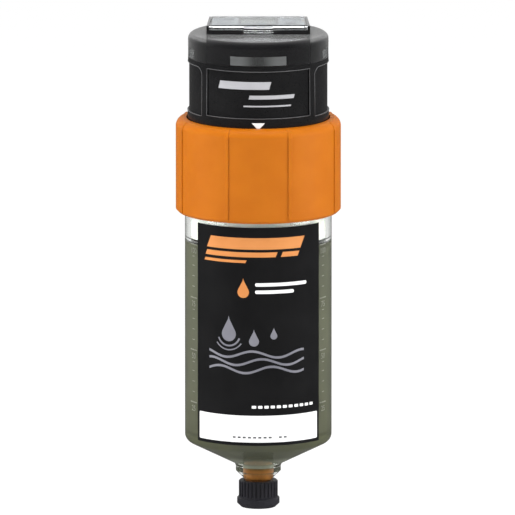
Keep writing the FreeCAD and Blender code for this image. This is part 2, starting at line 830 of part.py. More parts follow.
spindle_turning = turned(
    "spindle_turning",
    [
        ("0", "spindle_tip_z"),
        ("spindle_radius - spindle_chamfer", "spindle_tip_z"),
        ("spindle_radius", "spindle_tip_z + spindle_chamfer"),
        ("spindle_radius", "base_z - running_gap - spindle_collar_height"),
        ("spindle_collar_radius", "base_z - running_gap - spindle_collar_height"),
        ("spindle_collar_radius", "base_z - running_gap"),
        ("0", "base_z - running_gap"),
    ],
)
spindle_hex = doc.addObject("Part::Prism", "spindle_hex")
spindle_hex.Polygon = 6
tie(spindle_hex, "Circumradius", "spindle_hex_radius")
tie(spindle_hex, "Height", "running_gap + base_thickness + washer_height + output_face - 1.5")
tie(spindle_hex, "Placement.Base.z", "base_z - running_gap")
NODES["drive_spindle"] = fuse("drive_spindle", spindle_turning, spindle_hex)

# Involute gears, built in code from the sheet because no primitive draws a tooth

def involute(angle):
    return math.tan(angle) - angle


def gear_face(teeth, module, addendum, first_tooth, backlash):
    """The outline of a spur gear as a face, with one tooth centred on the angle first_tooth."""
    pitch = module * teeth / 2
    base = pitch * math.cos(math.radians(20))
    tip = pitch + addendum * module
    root = pitch - 1.25 * module
    start = max(base, root)
    half_tooth = (math.pi * module / 2 - backlash / 2) / (2 * pitch)

    def half_angle(radius):
        pressure = math.acos(min(1.0, base / radius))
        return half_tooth + involute(math.radians(20)) - involute(pressure)

    def at(radius, angle):
        return vector(radius * math.cos(angle), radius * math.sin(angle), 0)

    corners = []
    step = 2 * math.pi / teeth
    middle = (start + tip) / 2
    foot = min(root, start)
    flank = [(foot, half_angle(start)), (middle, half_angle(middle)), (tip, half_angle(tip))]
    if foot < start - 1e-6:
        flank.insert(1, (start, half_angle(start)))
    for i in range(teeth):
        centre = first_tooth + i * step
        corners += [at(radius, centre - angle) for radius, angle in flank]
        corners += [at(radius, centre + angle) for radius, angle in reversed(flank)]
    return Part.Face(Part.makePolygon(corners + corners[:1]))


def toothed(teeth, addendum, first_tooth, z, face_width):
    flat = gear_face(int(round(size(teeth))), size("gear_module"), addendum, first_tooth, size("tooth_backlash"))
    solid = flat.extrude(vector(0, 0, face_width))
    solid.translate(vector(0, 0, z))
    return solid


def round_bar(radius, z, height):
    return Part.makeCylinder(radius, height, vector(0, 0, z))


def feature(name, shape, x=0.0, y=0.0):
    item = doc.addObject("Part::Feature", name)
    item.Shape = shape
    item.Placement = FreeCAD.Placement(vector(x, y, 0), FreeCAD.Rotation())
    return item


def meshing_tooth(first_tooth, first_teeth, second_teeth, azimuth):
    """Where the second gear needs a tooth so that it meshes with the first, seen along azimuth."""
    first_pitch = 2 * math.pi / first_teeth
    second_pitch = 2 * math.pi / second_teeth
    share = 0.5 - (azimuth - first_tooth) / first_pitch
    return azimuth + math.pi - share * second_pitch


def azimuth_of(from_x, from_y, to_x, to_y):
    return math.atan2(number(to_y) - number(from_y), number(to_x) - number(from_x))


output_teeth, wheel_teeth = round(size("output_teeth")), round(size("wheel_teeth"))
second_pinion_teeth = round(size("second_pinion_teeth"))
first_pinion_teeth = round(size("first_pinion_teeth"))
motor_pinion_teeth = round(size("motor_pinion_teeth"))
output_tooth = 0.0
second_pinion_tooth = meshing_tooth(
    output_tooth, output_teeth, second_pinion_teeth, azimuth_of("0", "0", "second_x", "second_y")
)
second_wheel_tooth = 0.0
first_pinion_tooth = meshing_tooth(
    second_wheel_tooth, wheel_teeth, first_pinion_teeth,
    azimuth_of("second_x", "second_y", "first_x", "first_y"),
)
first_wheel_tooth = 0.0
motor_tooth = meshing_tooth(
    first_wheel_tooth, wheel_teeth, motor_pinion_teeth, azimuth_of("first_x", "first_y", "motor_x", "motor_y")
)
short_tooth = size("wheel_addendum")
axle_bore = size("axle_radius") + size("axle_clearance")
lowest = number("base_top_z + running_gap")
plate_clear = number("top_plate_z - running_gap")

output_gear_shape = toothed("output_teeth", short_tooth, output_tooth, size("level_one_z"), size("output_face"))
output_gear_shape = output_gear_shape.fuse(
    [
        round_bar(size("output_hub_radius"), size("base_z"), number("level_one_z - base_z")),
        round_bar(
            size("output_journal_radius"), number("level_one_z + output_face"),
            number("top_plate_top_z - level_one_z - output_face"),
        ),
    ]
).removeSplitter()
hex_radius = (size("spindle_hex_width") + 2 * size("hex_clearance")) / math.sqrt(3)
hex_corners = [
    vector(hex_radius * math.cos(math.radians(60 * i)), hex_radius * math.sin(math.radians(60 * i)), 0)
    for i in range(7)
]
hex_depth = number("base_thickness + washer_height + output_face - hex_roof + hex_clearance")
hex_socket = Part.Face(Part.makePolygon(hex_corners)).extrude(vector(0, 0, hex_depth))
hex_socket.translate(vector(0, 0, size("base_z")))
NODES["output_gear"] = feature("output_gear", output_gear_shape.cut(hex_socket))

second_shape = toothed(
    "second_pinion_teeth", 1.0, second_pinion_tooth, size("level_one_z"),
    number("level_two_z - level_one_z"),
)
second_shape = second_shape.fuse(
    [
        toothed("wheel_teeth", short_tooth, second_wheel_tooth, size("level_two_z"), size("second_face")),
        round_bar(size("gear_hub_radius"), lowest, plate_clear - lowest),
    ]
).removeSplitter()
second_shape = second_shape.cut(round_bar(axle_bore, lowest - 1, plate_clear - lowest + 2))
NODES["second_gear"] = feature("second_gear", second_shape, size("second_x"), size("second_y"))

first_shape = toothed(
    "first_pinion_teeth", 1.0, first_pinion_tooth, size("level_two_z"),
    number("level_three_z - level_two_z"),
)
first_shape = first_shape.fuse(
    [
        toothed("wheel_teeth", short_tooth, first_wheel_tooth, size("level_three_z"), size("first_face")),
        round_bar(size("gear_hub_radius"), lowest, plate_clear - lowest),
    ]
).removeSplitter()
first_shape = first_shape.cut(round_bar(axle_bore, lowest - 1, plate_clear - lowest + 2))
NODES["first_gear"] = feature("first_gear", first_shape, size("first_x"), size("first_y"))

pinion_shape = toothed("motor_pinion_teeth", 1.0, motor_tooth, size("level_three_z"), number("first_face + 0.6"))
pinion_bore = round_bar(size("shaft_radius"), number("level_three_z - 1"), number("first_face + 3"))
pinion_shape = pinion_shape.cut(pinion_bore)
NODES["motor_pinion"] = feature("motor_pinion", pinion_shape, size("motor_x"), size("motor_y"))

# Axles, bush, base with its pillars, and the plate that carries the motor

NODES["first_gear_axle"] = cylinder(
    "first_gear_axle", "axle_radius", "base_top_z - axle_depth",
    "top_plate_top_z - base_top_z + axle_depth", "first_x", "first_y",
)
NODES["second_gear_axle"] = cylinder(
    "second_gear_axle", "axle_radius", "base_top_z - axle_depth",
    "top_plate_top_z - base_top_z + axle_depth", "second_x", "second_y",
)
NODES["output_bush"] = turned(
    "output_bush",
    [
        ("bush_bore", "base_z"),
        ("bush_radius", "base_z"),
        ("bush_radius", "base_top_z"),
        ("bush_bore", "base_top_z"),
    ],
)
pillars = [
    ("pillar_one_x", "pillar_one_y"),
    ("pillar_side_x", "pillar_side_y"),
    ("0 - pillar_side_x", "pillar_side_y"),
]
base_solids = [cylinder("base_disc", "base_radius", "base_z", "base_thickness")]
base_holes = [cylinder("base_bush_hole", "bush_radius", "base_z - 1", "base_thickness + 2")]
plate_holes = [
    cylinder("plate_journal_hole", "output_journal_radius + 0.05", "top_plate_z - 1", "top_plate_thickness + 2"),
    cylinder(
        "plate_motor_hole", "motor_boss_radius", "top_plate_z - 1", "top_plate_thickness + 2",
        "motor_x", "motor_y",
    ),
]
for i, (x, y) in enumerate(pillars, start=1):
    base_solids.append(
        cylinder("base_pillar_%d" % i, "pillar_radius", "base_top_z - 1", "top_plate_z - base_top_z + 1", x, y)
    )
    base_holes.append(
        cylinder(
            "base_screw_hole_%d" % i, "screw_radius", "top_plate_top_z - screw_length",
            "screw_length + 1", x, y,
        )
    )
    plate_holes.append(
        cylinder("plate_screw_hole_%d" % i, "screw_radius", "top_plate_z - 1", "top_plate_thickness + 2", x, y)
    )
for name, x, y in (("first", "first_x", "first_y"), ("second", "second_x", "second_y")):
    base_holes.append(
        cylinder("base_%s_axle_hole" % name, "axle_radius", "base_top_z - axle_depth", "axle_depth + 1", x, y)
    )
    plate_holes.append(
        cylinder("plate_%s_axle_hole" % name, "axle_radius", "top_plate_z - 1", "top_plate_thickness + 2", x, y)
    )
NODES["drive_base"] = cut("drive_base", fuse("base_blank", *base_solids), *base_holes)
plate_disc = cylinder("plate_disc", "top_plate_radius", "top_plate_z", "top_plate_thickness")
plate_trim = box(
    "plate_trim", "0 - top_plate_radius", "0 - top_plate_radius", "top_plate_z",
    "top_plate_radius + top_plate_radius", "top_plate_radius + top_plate_back_y", "top_plate_thickness",
)
NODES["gear_top_plate"] = cut("gear_top_plate", common("plate_blank", plate_disc, plate_trim), *plate_holes)
NODES["gear_plate_screws"] = set_of_screws("gear_plate_screws", pillars, "top_plate_top_z", "screw_length")

# Motor with its shaft

motor_can = new_body("drive_motor")
revolved(
    motor_can,
    [
        ("shaft_radius + shaft_clearance", "top_plate_z"),
        ("motor_boss_radius", "top_plate_z"),
        ("motor_boss_radius", "top_plate_top_z"),
        ("motor_radius - motor_edge", "top_plate_top_z"),
        ("motor_radius", "top_plate_top_z + motor_edge"),
        ("motor_radius", "top_plate_top_z + motor_length - motor_edge"),
        ("motor_radius - motor_edge", "top_plate_top_z + motor_length"),
        ("motor_end_radius", "top_plate_top_z + motor_length"),
        ("motor_end_radius", "top_plate_top_z + motor_length + motor_end_height"),
        ("0", "top_plate_top_z + motor_length + motor_end_height"),
        ("0", "top_plate_top_z + shaft_depth"),
        ("shaft_radius + shaft_clearance", "top_plate_top_z + shaft_depth"),
    ],
    "drive_motor_turning",
)
tie(motor_can, "Placement.Base.x", "motor_x")
tie(motor_can, "Placement.Base.y", "motor_y")
NODES["drive_motor"] = motor_can
NODES["motor_shaft"] = cylinder(
    "motor_shaft", "shaft_radius", "level_three_z", "top_plate_top_z - level_three_z + shaft_depth - 0.2",
    "motor_x", "motor_y",
)

# Drive housing: one moulding with a wide skirt inside the ring, recessed panels and a seat rib for the base

housing_turning = turned(
    "housing_turning",
    [
        ("skirt_bore", "skirt_bottom_z"),
        ("skirt_radius", "skirt_bottom_z"),
        ("skirt_radius", "shoulder_z"),
        ("housing_radius", "shoulder_z"),
        ("housing_top_radius", "seam_z"),
        ("housing_bore", "seam_z"),
        ("housing_bore", "skirt_ceiling_z"),
        ("skirt_bore", "skirt_ceiling_z"),
        ("skirt_bore", "seat_rib_z"),
        ("seat_rib_radius", "seat_rib_z"),
        ("seat_rib_radius", "base_top_z"),
        ("skirt_bore", "base_top_z"),
    ],
)
front_recess = sector(
    "front_recess", "panel_radius", "housing_radius + 1", "front_panel_z",
    "panel_top_z - front_panel_z", -90, "front_panel_span",
)


def top_corners(item, height):
    """The straight level edges of a sector at its top, which are its upper corners."""
    found = []
    for i, edge in enumerate(item.Shape.Edges, start=1):
        ends = [v.Point.z for v in edge.Vertexes]
        if isinstance(edge.Curve, Part.Line) and all(abs(z - height) < 1e-4 for z in ends):
            found.append(i)
    if len(found) != 2:
        raise ValueError("a sector should have two upper corners")
    return found


side_recesses = []
for side, azimuth in (("right", 0), ("left", 180)):
    blank = sector(
        side + "_recess_blank", "panel_radius", "housing_radius + 1", "side_panel_z",
        "panel_top_z - side_panel_z", azimuth, "side_panel_span",
    )
    soft = doc.addObject("Part::Fillet", side + "_recess")
    soft.Base = blank
    corner = size("side_panel_corner")
    soft.Edges = [(i, corner, corner) for i in top_corners(blank, size("panel_top_z"))]
    side_recesses.append(soft)
NODES["drive_housing"] = cut("drive_housing", housing_turning, front_recess, *side_recesses)

# Retaining ring: held on the housing's shoulder, its lip hooks under the canister's lugs

ring = new_body("retaining_ring")
ring_turning = revolved(
    ring,
    [
        ("lip_bore", "ring_bottom_z"),
        ("ring_radius - ring_foot_chamfer", "ring_bottom_z"),
        ("ring_radius", "ring_bottom_z + ring_foot_chamfer"),
        ("ring_radius", "ring_top_z"),
        ("ring_collar_bore", "ring_top_z"),
        ("ring_collar_bore", "ring_rest_z"),
        ("ring_bore", "ring_rest_z"),
        ("ring_bore", "lip_top_z"),
        ("lip_bore", "lip_top_z"),
    ],
    "ring_turning",
)
rounded(ring, ring_turning, "ring_radius", "ring_top_z", "ring_shoulder_radius", "ring_shoulder")
ring_rib = revolved(
    ring,
    [
        ("ring_radius - 1", "ring_rib_base_z"),
        ("ring_radius", "ring_rib_base_z"),
        ("ring_radius + ring_rib_rise", "ring_rib_base_z + ring_rib_rise"),
        ("ring_radius + ring_rib_rise", "ring_top_z - ring_shoulder_radius"),
        ("ring_radius + ring_rib_rise - 0.8", "ring_top_z - ring_shoulder_radius + 2.2"),
        ("ring_radius - ring_shoulder_radius + 2", "ring_top_z - 0.2"),
        ("ring_radius - ring_shoulder_radius", "ring_top_z - 1"),
        ("ring_radius - 1", "ring_top_z - ring_shoulder_radius"),
    ],
    "ring_rib",
    span="ring_rib_span",
    turn=22.5,
)
patterned(ring, ring_rib, "ring_rib_count", "ring_ribs")
ring_notch = revolved(
    ring,
    [
        ("lip_bore - 1", "ring_bottom_z - 1"),
        ("notch_radius", "ring_bottom_z - 1"),
        ("notch_radius", "lip_top_z + 0.1"),
        ("lip_bore - 1", "lip_top_z + 0.1"),
    ],
    "ring_notch",
    kind="Groove",
    span="notch_span",
    turn=0,
)
patterned(ring, ring_notch, "lug_count", "ring_notches")
NODES["retaining_ring"] = ring

# Battery tray with its three cells and their contacts

tray_solids = [
    sector(
        "tray_back", "tray_wall_bore", "tray_radius", "base_top_z", "tray_top_z - base_top_z", 90, "tray_span"
    ),
    sector("tray_floor_plate", "tray_inner", "tray_radius", "base_top_z", "tray_floor", 90, "tray_span"),
    sector("tray_mid_plate", "tray_inner", "tray_radius", "tray_mid_z", "tray_floor", 90, "tray_span"),
    sector("tray_cap_plate", "tray_inner", "tray_radius", "tray_cap_z", "tray_cap", 90, "tray_span"),
]
posts = [("0", "post_circle"), ("post_side_x", "post_side_y"), ("0 - post_side_x", "post_side_y")]
cells = [
    ("battery_cell_back", "0", "cell_circle"),
    ("battery_cell_right", "cell_side_x", "cell_side_y"),
    ("battery_cell_left", "0 - cell_side_x", "cell_side_y"),
]
tray_holes = []
board_holes = []
for i, (x, y) in enumerate(posts, start=1):
    tray_solids.append(
        cylinder(
            "tray_post_%d" % i, "post_radius", "tray_top_z - post_root", "board_z - tray_top_z + post_root",
            x, y,
        )
    )
    tray_holes.append(
        cylinder(
            "tray_screw_hole_%d" % i, "screw_radius", "board_top_z - board_screw_length",
            "board_screw_length + 1", x, y
        )
    )
    board_holes.append(
        cylinder("board_screw_hole_%d" % i, "screw_radius", "board_z - 1", "board_thickness + 2", x, y)
    )
contacts = []
for name, x, y in cells:
    tray_holes.append(
        cylinder(name + "_bore", "cell_radius + cell_clearance", "tray_mid_z - 1", "tray_floor + 2", x, y)
    )
    cell = turned(
        name,
        [
            ("0", "cell_z"),
            ("cell_radius", "cell_z"),
            ("cell_radius", "cell_z + cell_length"),
            ("cell_nub_radius", "cell_z + cell_length"),
            ("cell_nub_radius", "cell_top_z"),
            ("0", "cell_top_z"),
        ],
    )
    tie(cell, "Placement.Base.x", x)
    tie(cell, "Placement.Base.y", y)
    NODES[name] = cell
    for end, z in (("low", "tray_floor_z"), ("top", "cell_top_z")):
        contacts.append(
            box(
                "%s_contact_%s" % (name, end), x + " - contact_half_width", y + " - contact_half_width", z,
                "contact_width", "contact_width", "contact_thickness",
            )
        )
NODES["battery_tray"] = cut("battery_tray", fuse("tray_blank", *tray_solids), *tray_holes)
NODES["battery_contacts"] = group("battery_contacts", *contacts)

# Circuit board with its screws, lamps, switch and display

NODES["circuit_board"] = cut(
    "circuit_board", cylinder("board_disc", "board_radius", "board_z", "board_thickness"), *board_holes
)
NODES["board_screws"] = set_of_screws("board_screws", posts, "board_top_z", "board_screw_length")
lamps = [
    ("front", "0 - led_half_width", "0 - led_circle", "led_width", "led_depth"),
    ("back", "0 - led_half_width", "led_circle - led_depth", "led_width", "led_depth"),
    ("left", "0 - led_circle", "0 - led_half_width", "led_depth", "led_width"),
    ("right", "led_circle - led_depth", "0 - led_half_width", "led_depth", "led_width"),
]
NODES["status_leds"] = group(
    "status_leds",
    *[
        box("status_led_" + place, x, y, "board_z - led_height", length, width, "led_height")
        for place, x, y, length, width in lamps
    ],
)
lcd = box(
    "lcd_block", "0 - lcd_half_width", "lcd_y", "board_top_z", "lcd_width", "lcd_depth",
    "bezel_top_z + panel_thickness - lcd_drop - board_top_z",
)
NODES["lcd_module"] = lcd
NODES["set_switch"] = cut(
    "set_switch",
    box(
        "switch_body", "button_x - switch_half_width", "button_y - switch_half_width", "board_top_z",
        "switch_width", "switch_width", "switch_height",
    ),
    cylinder(
        "switch_hole", "switch_bore", "board_top_z + switch_height - switch_well", "switch_well + 1",
        "button_x", "button_y",
    ),
)
set_button = turned(
    "set_button",
    [
        ("0", "board_top_z + switch_height - 0.15"),
        ("button_stem_radius", "board_top_z + switch_height - 0.15"),
        ("button_stem_radius", "board_top_z + switch_height + button_travel + 0.05"),
        ("button_flange_radius", "board_top_z + switch_height + button_travel + 0.05"),
        ("button_flange_radius", "cover_ceiling_z - 0.05"),
        ("button_radius", "cover_ceiling_z - 0.05"),
        ("button_radius", "bezel_top_z + panel_thickness - button_drop"),
        ("0", "bezel_top_z + panel_thickness - button_drop"),
    ],
)
tie(set_button, "Placement.Base.x", "button_x")
tie(set_button, "Placement.Base.y", "button_y")
NODES["set_button"] = set_button

# Top cover, bezel strap and light guide share the windows and openings cut through them

windows = [
    sector(
        "window_%d" % azimuth, "guide_bore - 1", "bezel_radius + 1", "window_z", "window_height",
        azimuth, "window_span",
    )
    for azimuth in (-90, 0, 90, 180)
]
lcd_opening = box(
    "lcd_opening", "0 - lcd_half_width - lcd_clearance", "lcd_y - lcd_clearance", "cover_ceiling_z - 1",
    "lcd_width + lcd_clearance + lcd_clearance", "lcd_depth + lcd_clearance + lcd_clearance", "8",
)
button_opening = cylinder(
    "button_opening", "button_radius + button_clearance", "cover_ceiling_z - 1", "8", "button_x", "button_y"
)
cover_body = new_body("cover_body")
cover_turning = revolved(
    cover_body,
    [
        ("spigot_bore", "spigot_z"),
        ("spigot_radius", "spigot_z"),
        ("spigot_radius", "seam_z"),
        ("housing_top_radius", "seam_z"),
        ("housing_top_radius", "cover_top_z"),
        ("0", "cover_top_z"),
        ("0", "cover_ceiling_z"),
        ("cover_bore", "cover_ceiling_z"),
        ("cover_bore", "spigot_shelf_z"),
        ("spigot_bore", "spigot_shelf_z"),
    ],
    "cover_turning",
)
rounded(cover_body, cover_turning, "housing_top_radius", "cover_top_z", "cover_edge", "cover_rim")
strap_bed = cylinder("strap_bed", "bed_radius", "spigot_z - 1", "bed_z - spigot_z + 1")
strap_slot = cut(
    "strap_slot",
    box(
        "strap_slot_block", "0 - bezel_half_width - bezel_gap", "0 - bezel_radius - 1", "seam_z - 1",
        "bezel_half_width + bezel_half_width + bezel_gap + bezel_gap", "bezel_radius + bezel_radius + 2",
        "bezel_top_z - seam_z + 2",
    ),
    strap_bed,
)
NODES["top_cover"] = cut("top_cover", cover_body, strap_slot, *windows, lcd_opening, button_opening)

guide_solids = [
    sector(
        "guide_pad_%d" % azimuth, "guide_bore", outer, "window_z + guide_clearance",
        "window_height - guide_clearance - guide_clearance", azimuth, "guide_pad_span",
    )
    for azimuth, outer in (
        (-90, "bezel_radius - guide_clearance"),
        (0, "housing_top_radius - guide_clearance"),
        (90, "bezel_radius - guide_clearance"),
        (180, "housing_top_radius - guide_clearance"),
    )
]
guide_band = turned(
    "guide_band",
    [
        ("guide_bore", "spigot_shelf_z"),
        ("guide_radius", "spigot_shelf_z"),
        ("guide_radius", "window_top_z - guide_clearance"),
        ("guide_bore", "window_top_z - guide_clearance"),
    ],
)
NODES["light_guide"] = fuse("light_guide", guide_band, *guide_solids)

bezel_skin = new_body("bezel_skin")
bezel_turning = revolved(
    bezel_skin,
    [
        ("0", "seam_z + bezel_gap"),
        ("bezel_radius", "seam_z + bezel_gap"),
        ("bezel_radius", "bezel_top_z"),
        ("0", "bezel_top_z"),
    ],
    "bezel_turning",
)
rounded(bezel_skin, bezel_turning, "bezel_radius", "bezel_top_z", "bezel_edge", "bezel_nose")
bezel_band = common(
    "bezel_band",
    bezel_skin,
    box(
        "bezel_block", "0 - bezel_half_width", "0 - bezel_radius - 1", "seam_z",
        "bezel_half_width + bezel_half_width", "bezel_radius + bezel_radius + 2", "bezel_top_z - seam_z + 1",
    ),
)


def tapered(name, front_half, back_half, front_y, back_y, z, height):
    """A flat plate, wider at the front than at the back."""
    body = new_body(name)
    padded(
        body,
        [
            ("0 - " + front_half.replace("- ", "+ "), front_y),
            (front_half, front_y),
            (back_half, back_y),
            ("0 - " + back_half.replace("- ", "+ "), back_y),
        ],
        name + "_plate",
        height,
        lift=z,
    )
    return body


frame_outer = tapered(
    "frame_outer", "bezel_half_width", "bezel_half_width - frame_taper", "frame_front_y", "frame_back_y",
    "bezel_top_z - 1", "rail_top_z - bezel_top_z + 1",
)
frame_inner = tapered(
    "frame_inner", "bezel_half_width - frame_wall", "bezel_half_width - frame_taper - frame_wall",
    "frame_front_y", "frame_back_y", "bezel_top_z", "rail_top_z - bezel_top_z + 1",
)
front_wall = box(
    "frame_front_wall", "0 - bezel_half_width + wall_overlap", "frame_front_y", "bezel_top_z - 1",
    "bezel_half_width + bezel_half_width - wall_overlap - wall_overlap", "frame_wall",
    "frame_front_z - bezel_top_z + 1",
)
back_wall = box(
    "frame_back_wall", "0 - bezel_half_width + wall_overlap + frame_taper", "frame_back_y - frame_wall",
    "bezel_top_z - 1",
    "bezel_half_width + bezel_half_width - wall_overlap - wall_overlap - frame_taper - frame_taper",
    "frame_wall", "back_wall_z - bezel_top_z + 1",
)


def cross_pin(name, radius, half_length, end="0"):
    """A round bar along X on the lid's hinge line, running past half_length by end on each side."""
    item = doc.addObject("Part::Cylinder", name)
    tie(item, "Radius", radius)
    tie(item, "Height", half_length + " + " + half_length + " + " + end + " + " + end)
    item.Placement = FreeCAD.Placement(vector(0, 0, 0), FreeCAD.Rotation(vector(0, 1, 0), 90))
    tie(item, "Placement.Base.x", "0 - " + half_length + " - " + end)
    tie(item, "Placement.Base.y", "pin_y")
    tie(item, "Placement.Base.z", "knuckle_z")
    return item


lid_pin = cross_pin("lid_pin", "pin_radius", "pin_half_length")
NODES["lid_pin"] = lid_pin
rails = cut("frame_rails", frame_outer, frame_inner)
bezel_blank = fuse("bezel_blank", bezel_band, rails, front_wall, back_wall)
NODES["display_bezel"] = cut(
    "display_bezel", bezel_blank, strap_bed, *windows, lcd_opening, button_opening, lid_pin
)

# Display panel with its two soft-cornered pockets

panel_blank = box(
    "panel_blank", "0 - panel_half_width", "frame_front_y + frame_wall + panel_gap", "bezel_top_z",
    "panel_half_width + panel_half_width", "panel_back_y - frame_front_y - frame_wall - panel_gap",
    "panel_thickness",
)


def pocket(name, x):
    block = box(
        name + "_block", x, "pocket_y", "bezel_top_z + panel_thickness - pocket_depth",
        "pocket_width", "pocket_length", "2",
    )
    doc.recompute()
    corner = size("pocket_corner")
    upright = [
        i
        for i, edge in enumerate(block.Shape.Edges, start=1)
        if abs(edge.Vertexes[0].Point.z - edge.Vertexes[-1].Point.z) > 1
    ]
    soft = doc.addObject("Part::Fillet", name)
    soft.Base = block
    soft.Edges = [(i, corner, corner) for i in upright]
    return soft


NODES["display_panel"] = cut(
    "display_panel", panel_blank, pocket("left_pocket", "left_pocket_x"),
    pocket("right_pocket", "right_pocket_x"), lcd_opening, button_opening,
)

# Clear lid: a plate with a thumb tab, and a knuckle that turns on the pin

lid_plate = tapered(
    "lid_plate", "bezel_half_width - frame_wall - lid_gap",
    "bezel_half_width - frame_taper - frame_wall - lid_gap", "frame_front_y", "pin_y", "lid_z",
    "lid_thickness",
)
doc.recompute()
lid_rim = []
for i, edge in enumerate(lid_plate.Shape.Edges, start=1):
    ends = [v.Point for v in edge.Vertexes]
    at_top = all(abs(p.z - number("lid_z + lid_thickness")) < 1e-4 for p in ends)
    at_back = all(abs(p.y - size("pin_y")) < 1e-4 for p in ends)
    if at_top and not at_back:
        lid_rim.append("Edge%d" % i)
plain_plate = lid_plate.Tip
lid_chamfer = lid_plate.newObject("PartDesign::Chamfer", "lid_chamfer")
lid_chamfer.Base = (plain_plate, lid_rim)
tie(lid_chamfer, "Size", "lid_edge")
knuckle = cross_pin("lid_knuckle", "knuckle_radius", "knuckle_half_length")
tab = box(
    "lid_tab", "0 - tab_half_width", "frame_front_y - tab_reach", "lid_z", "tab_width", "tab_reach + 1",
    "tab_thickness",
)
tab_lip = box(
    "lid_tab_lip", "0 - tab_half_width", "frame_front_y - tab_reach", "lid_z - tab_drop", "tab_width",
    "1.2", "tab_drop + 1",
)
lid_blank = fuse("lid_blank", lid_plate, knuckle, tab, tab_lip)
NODES["clear_lid"] = cut(
    "clear_lid", lid_blank, cross_pin("lid_bore", "pin_radius + pin_clearance", "knuckle_half_length", "1")
)

doc.recompute()

# Every object must have computed and every solid must be sound before anything is written

for item in doc.Objects:
    for state in item.State:
        if state in ("Invalid", "Error"):
            raise RuntimeError("%s is %s" % (item.Label, state))

os.makedirs("parts", exist_ok=True)
for name, item in NODES.items():
    item.Label = name
    shape = item.Shape
    if not shape.Solids or not shape.isValid():
        raise RuntimeError(name + " isn't a sound solid")
    shape.exportStep(os.path.join("parts", name + ".step"))
    print(name, len(shape.Solids), round(shape.Volume, 1))
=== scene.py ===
import math

import bmesh
import bpy
from mathutils import Matrix, Vector


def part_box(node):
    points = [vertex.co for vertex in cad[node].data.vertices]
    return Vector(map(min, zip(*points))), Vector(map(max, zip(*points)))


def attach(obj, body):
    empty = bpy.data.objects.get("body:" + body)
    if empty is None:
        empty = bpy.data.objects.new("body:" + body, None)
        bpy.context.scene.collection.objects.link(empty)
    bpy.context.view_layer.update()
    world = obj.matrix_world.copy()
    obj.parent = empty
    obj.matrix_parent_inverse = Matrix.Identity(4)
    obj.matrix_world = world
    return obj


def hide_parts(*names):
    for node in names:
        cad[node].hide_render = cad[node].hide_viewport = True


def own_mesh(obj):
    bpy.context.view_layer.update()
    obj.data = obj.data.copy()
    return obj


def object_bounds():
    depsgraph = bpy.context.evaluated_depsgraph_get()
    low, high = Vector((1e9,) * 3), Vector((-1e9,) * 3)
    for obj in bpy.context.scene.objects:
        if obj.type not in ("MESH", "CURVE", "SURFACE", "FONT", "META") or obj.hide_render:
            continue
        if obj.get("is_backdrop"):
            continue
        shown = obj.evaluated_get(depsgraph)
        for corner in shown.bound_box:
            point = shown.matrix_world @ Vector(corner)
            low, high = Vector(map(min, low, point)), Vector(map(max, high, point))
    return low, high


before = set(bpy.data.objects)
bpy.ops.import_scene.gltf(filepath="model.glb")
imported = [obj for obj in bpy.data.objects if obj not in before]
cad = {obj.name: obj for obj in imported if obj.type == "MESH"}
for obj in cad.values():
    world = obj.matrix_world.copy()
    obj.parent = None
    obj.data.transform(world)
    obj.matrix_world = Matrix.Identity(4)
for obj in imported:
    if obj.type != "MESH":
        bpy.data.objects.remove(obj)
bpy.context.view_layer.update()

# Lengths are in millimetres and become metres in the meshes, azimuths are degrees from +X
MM = 0.001
FRONT = -90.0


def box_edge(node, end, axis):
    """Where a node's box begins (end 0) or stops (end 1) along an axis."""
    return round(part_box(node)[end][axis] / MM, 2)


def foot_of(node):
    return box_edge(node, 0, 2)


def top_of(node):
    return box_edge(node, 1, 2)


# Shader helpers

WHITE = (1, 1, 1, 1)
# Places of the colour sockets on a Mix node
MIX_FIRST, MIX_SECOND, MIX_RESULT = 6, 7, 2


def new_material(name):
    material = bpy.data.materials.new(name)
    material.use_nodes = True
    nodes = material.node_tree.nodes
    return material, nodes, material.node_tree.links, nodes["Principled BSDF"]


def feed(links, value, socket):
    """A link where the value is a socket, else the value itself."""
    if isinstance(value, bpy.types.NodeSocket):
        links.new(value, socket)
    else:
        socket.default_value = value


def worked(nodes, links, operation, *values):
    """One sum of a shader: a Math node over sockets and plain numbers."""
    node = nodes.new("ShaderNodeMath")
    node.operation = operation
    for i, value in enumerate(values):
        feed(links, value, node.inputs[i])
    return node.outputs[0]


def coordinate(nodes, links, kind, axis):
    """One axis of the object's own coordinates, of its normal or of the world's direction."""
    place = nodes.new("ShaderNodeTexCoord")
    split = nodes.new("ShaderNodeSeparateXYZ")
    links.new(place.outputs[kind], split.inputs["Vector"])
    return split.outputs[axis]


def remapped(nodes, links, value, low, high, to_low=0.0, to_high=1.0, kind="LINEAR"):
    """A value's stretch from low to high, carried over to another stretch."""
    node = nodes.new("ShaderNodeMapRange")
    node.interpolation_type = kind
    node.inputs["From Min"].default_value = low
    node.inputs["From Max"].default_value = high
    node.inputs["To Min"].default_value = to_low
    node.inputs["To Max"].default_value = to_high
    links.new(value, node.inputs["Value"])
    return node.outputs["Result"]


def height_of(nodes, links, low, high):
    """0 to 1 as z goes from low to high."""
    return remapped(nodes, links, coordinate(nodes, links, "Object", "Z"), low * MM, high * MM)


def upward(nodes, links, low, high):
    """0 to 1 as the upward part of a face's normal goes from low to high."""
    return remapped(nodes, links, coordinate(nodes, links, "Normal", "Z"), low, high)


